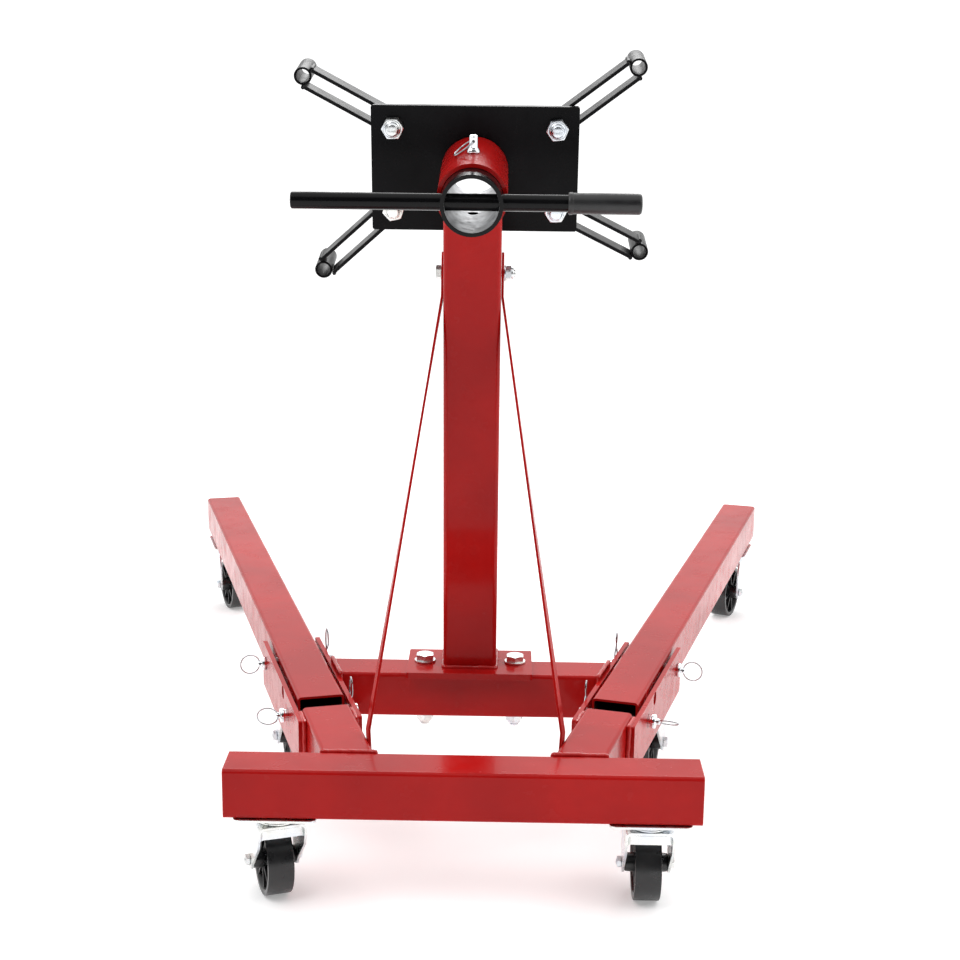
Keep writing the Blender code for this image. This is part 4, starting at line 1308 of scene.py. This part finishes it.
@dataclass
class Arm:
    """A clamp arm: a hairpin of flat bar with a long boss, and the bolt that clamps it."""

    name: str
    axis: Vector
    gap: float = 0.018
    bar: float = 0.0045
    depth: float = 0.030
    tail: float = 0.043
    boss_radius: float = 0.011
    boss_bore: float = 0.00825
    boss_length: float = 0.064
    plate: float = 0.008

    def build(self) -> None:
        """Make the arm and its bolt."""
        origin, _ = joint(f"arm_{self.name}_swing")
        _, out = joint(f"arm_{self.name}_slide")
        place = axes(origin, out, self.axis.cross(out))
        boss = self.reach(place)
        self.strap(place, boss)
        self.bolt(place)

    def reach(self, place: Matrix) -> float:
        """Distance from the bolt to the boss, from the far corner of the arm's CAD node."""
        node = frame["nodes"][f"arm_{self.name}"]
        back = place.inverted()
        return max((back @ vert.co).x for vert in node.data.vertices) - self.boss_radius

    def strap(self, place: Matrix, reach: float) -> None:
        """Two bars joined by a round bend at the inner end, and the boss at the outer end."""
        half = self.gap / 2 + self.bar / 2
        end = reach - 0.006
        bend = -self.tail + self.bar / 2 + half
        made = Solid()
        route = [(end, -half), (bend, -half)]
        route += [(bend + half * math.cos(a), half * math.sin(a)) for a in
                  (math.radians(-90 - 180 / 16 * i) for i in range(1, 16))]
        route += [(bend, half), (end, half)]
        points = [made.work.verts.new((x, y, 0)) for x, y in route]
        edges = [made.work.edges.new(pair) for pair in zip(points, points[1:])]
        grown = bmesh.ops.extrude_edge_only(made.work, edges=edges)["geom"]
        bmesh.ops.translate(made.work, vec=(0, 0, self.depth),
                            verts=[v for v in grown if isinstance(v, bmesh.types.BMVert)])
        bmesh.ops.recalc_face_normals(made.work, faces=made.work.faces)
        bmesh.ops.solidify(made.work, geom=made.work.faces[:], thickness=self.bar)
        made.outwards()
        low = min(vert.co.x for vert in made.work.verts)
        middle = -self.tail - low
        for vert in made.work.verts:
            vert.co.y += math.copysign(middle, vert.co.y) if abs(middle) > 1e-4 else 0.0
            if vert.co.x < bend:
                vert.co.x += middle * (bend - vert.co.x) / (bend - low)
        made.soften(0.0008, 3)
        profile = [(self.boss_bore, 0.0012), (self.boss_bore + 0.0012, 0),
                   (self.boss_radius - 0.0010, 0), (self.boss_radius, 0.0010),
                   (self.boss_radius, self.boss_length - 0.0010),
                   (self.boss_radius - 0.0010, self.boss_length),
                   (self.boss_bore + 0.0012, self.boss_length),
                   (self.boss_bore, self.boss_length - 0.0012)]
        boss = Solid.turned(profile, 56, ring=True).at(shift(reach))
        bars = made.cut(Solid.rod(self.boss_bore + 0.001, -0.01, 0.07).at(shift(reach)))
        bars.join(boss)
        for side in (-1, 1):
            y = side * (half + self.bar / 2 - 0.0008)
            x = reach - 0.0062
            seam = [Vector((x, y, 0.002)), Vector((x, y, self.depth - 0.002))]
            bars.join(bead(seam, 0.0028, 50.0 + side))
        bars.at(place).piece(f"arm_{self.name}_strap", f"arm_{self.name}", Finish.SATIN,
                             replaces=[f"arm_{self.name}"])

    def bolt(self, place: Matrix) -> None:
        """Bolt with its washer on the engine's side, and its lock nut behind the plate."""
        top = self.depth + GAP
        back = -self.plate - GAP
        made = Solid.rod(0.0080, back - 0.010, top + 0.004)
        made.join(washer(0.0165, 0.0078, 0.0035).at(shift(z=top)))
        made.join(Solid.hexagon(0.024, top + 0.0034, top + 0.0135))
        made.join(thread(0.0080, 0.0180, 0.0280, 0.0016).at(turn(180, "X")))
        rear = turn(180, "X")
        made.join(nut(0.024, 0.0120, 0.0078).at(rear @ shift(z=-back)))
        made.at(place).piece(f"arm_bolt_{self.name}_set", f"arm_bolt_{self.name}", Finish.ZINC,
                             replaces=[f"arm_bolt_{self.name}"])


# ---- Studio ----


@dataclass(frozen=True)
class Studio:
    """Pale floor, soft lights, and the camera in front of the stand."""

    eye: tuple[float, float, float] = (0.0408, -2.4828, 0.9568)
    pitch: float = 13.36
    yaw: float = -0.786
    roll: float = 0.666
    lens: float = 65.14
    floor_size: float = 30.0
    floor_glow: float = 0.35
    world: float = 1.25
    dark: float = 0.04
    fade: float = 0.30
    bright_side: tuple[float, float, float] = (0.0, 0.80, 0.60)

    def build(self) -> None:
        """Set up floor, world, lights and camera."""
        self.floor()
        self.surroundings()
        self.lamp("key_light", (-1.6, -1.9, 2.9), (1.6, 1.6), 26.0)
        self.lamp("fill_light", (2.2, -1.2, 1.9), (1.4, 1.8), 12.0)
        self.lamp("rim_light", (0.2, 2.2, 2.6), (2.2, 1.2), 40.0)
        self.camera()

    def floor(self) -> None:
        """Plain pale floor."""
        made = Solid()
        bmesh.ops.create_grid(made.work, x_segments=1, y_segments=1, size=self.floor_size / 2)
        mesh = bpy.data.meshes.new("floor")
        made.work.to_mesh(mesh)
        made.work.free()
        g = Graph("floor_pale")
        tone = g.mix(g.span(g.noise(2.0), 0.3, 0.7), (0.90, 0.90, 0.90), (0.88, 0.88, 0.88))
        mesh.materials.append(g.shade(Base_Color=tone, Roughness=0.9, Emission_Color=tone,
                                      Emission_Strength=self.floor_glow))
        floor = bpy.data.objects.new("floor", mesh)
        bpy.context.scene.collection.objects.link(floor)

    def surroundings(self) -> None:
        """White surroundings, dark on the operator's side, as in a studio's open end."""
        world = bpy.data.worlds.new("studio")
        world.use_nodes = True
        tree = world.node_tree
        place = tree.nodes.new("ShaderNodeTexCoord").outputs["Generated"]
        slope = tree.nodes.new("ShaderNodeVectorMath")
        slope.operation = "DOT_PRODUCT"
        slope.inputs[1].default_value = self.bright_side
        level = tree.nodes.new("ShaderNodeMapRange")
        level.interpolation_type = "SMOOTHSTEP"
        level.inputs["From Min"].default_value = -self.fade
        level.inputs["From Max"].default_value = self.fade
        level.inputs["To Min"].default_value = self.dark
        level.inputs["To Max"].default_value = self.world
        tree.links.new(place, slope.inputs[0])
        tree.links.new(slope.outputs["Value"], level.inputs["Value"])
        tree.links.new(level.outputs[0], tree.nodes["Background"].inputs["Strength"])
        tree.nodes["Background"].inputs["Color"].default_value = (1, 1, 1, 1)
        bpy.context.scene.world = world
        bpy.context.scene.view_settings.view_transform = "Standard"

    def lamp(self, name: str, place: tuple[float, float, float], size: tuple[float, float],
             power: float) -> None:
        """Area light that faces the middle of the stand."""
        data = bpy.data.lights.new(name, "AREA")
        data.shape = "RECTANGLE"
        data.size, data.size_y = size
        data.energy = power
        lamp = bpy.data.objects.new(name, data)
        aim = Vector((0, -0.1, 0.4)) - Vector(place)
        lamp.matrix_world = shift(*place) @ aim.to_track_quat("-Z", "Y").to_matrix().to_4x4()
        bpy.context.scene.collection.objects.link(lamp)

    def camera(self) -> None:
        """Camera at the operator's side, a little above the head."""
        data = bpy.data.cameras.new("camera")
        data.lens = self.lens
        data.sensor_width = 36.0
        camera = bpy.data.objects.new("camera", data)
        pitch, yaw, roll = (math.radians(a) for a in (self.pitch, self.yaw, self.roll))
        ahead = Vector((math.sin(yaw) * math.cos(pitch), math.cos(yaw) * math.cos(pitch),
                        -math.sin(pitch)))
        right = Vector((math.cos(yaw), -math.sin(yaw), 0))
        up = right.cross(ahead)
        tilted = right * math.cos(roll) + up * math.sin(roll)
        above = -right * math.sin(roll) + up * math.cos(roll)
        camera.matrix_world = axes(Vector(self.eye), tilted, above)
        bpy.context.scene.collection.objects.link(camera)
        bpy.context.scene.camera = camera


def main() -> None:
    """Build the whole scene."""
    logging.basicConfig(level=logging.INFO, format="%(name)s: %(message)s")
    Base().build()
    Legs().build()
    for side in SIDES:
        Caster(f"rear_{side}", "frame").build()
        Caster(f"mid_{side}", "frame").build()
        Caster(f"front_{side}", f"leg_{side}").build()
    post = Post()
    post.build()
    Head(post.head, post.rise, post.axis).build()
    Studio().build()


if __name__ == "__main__":
    main()
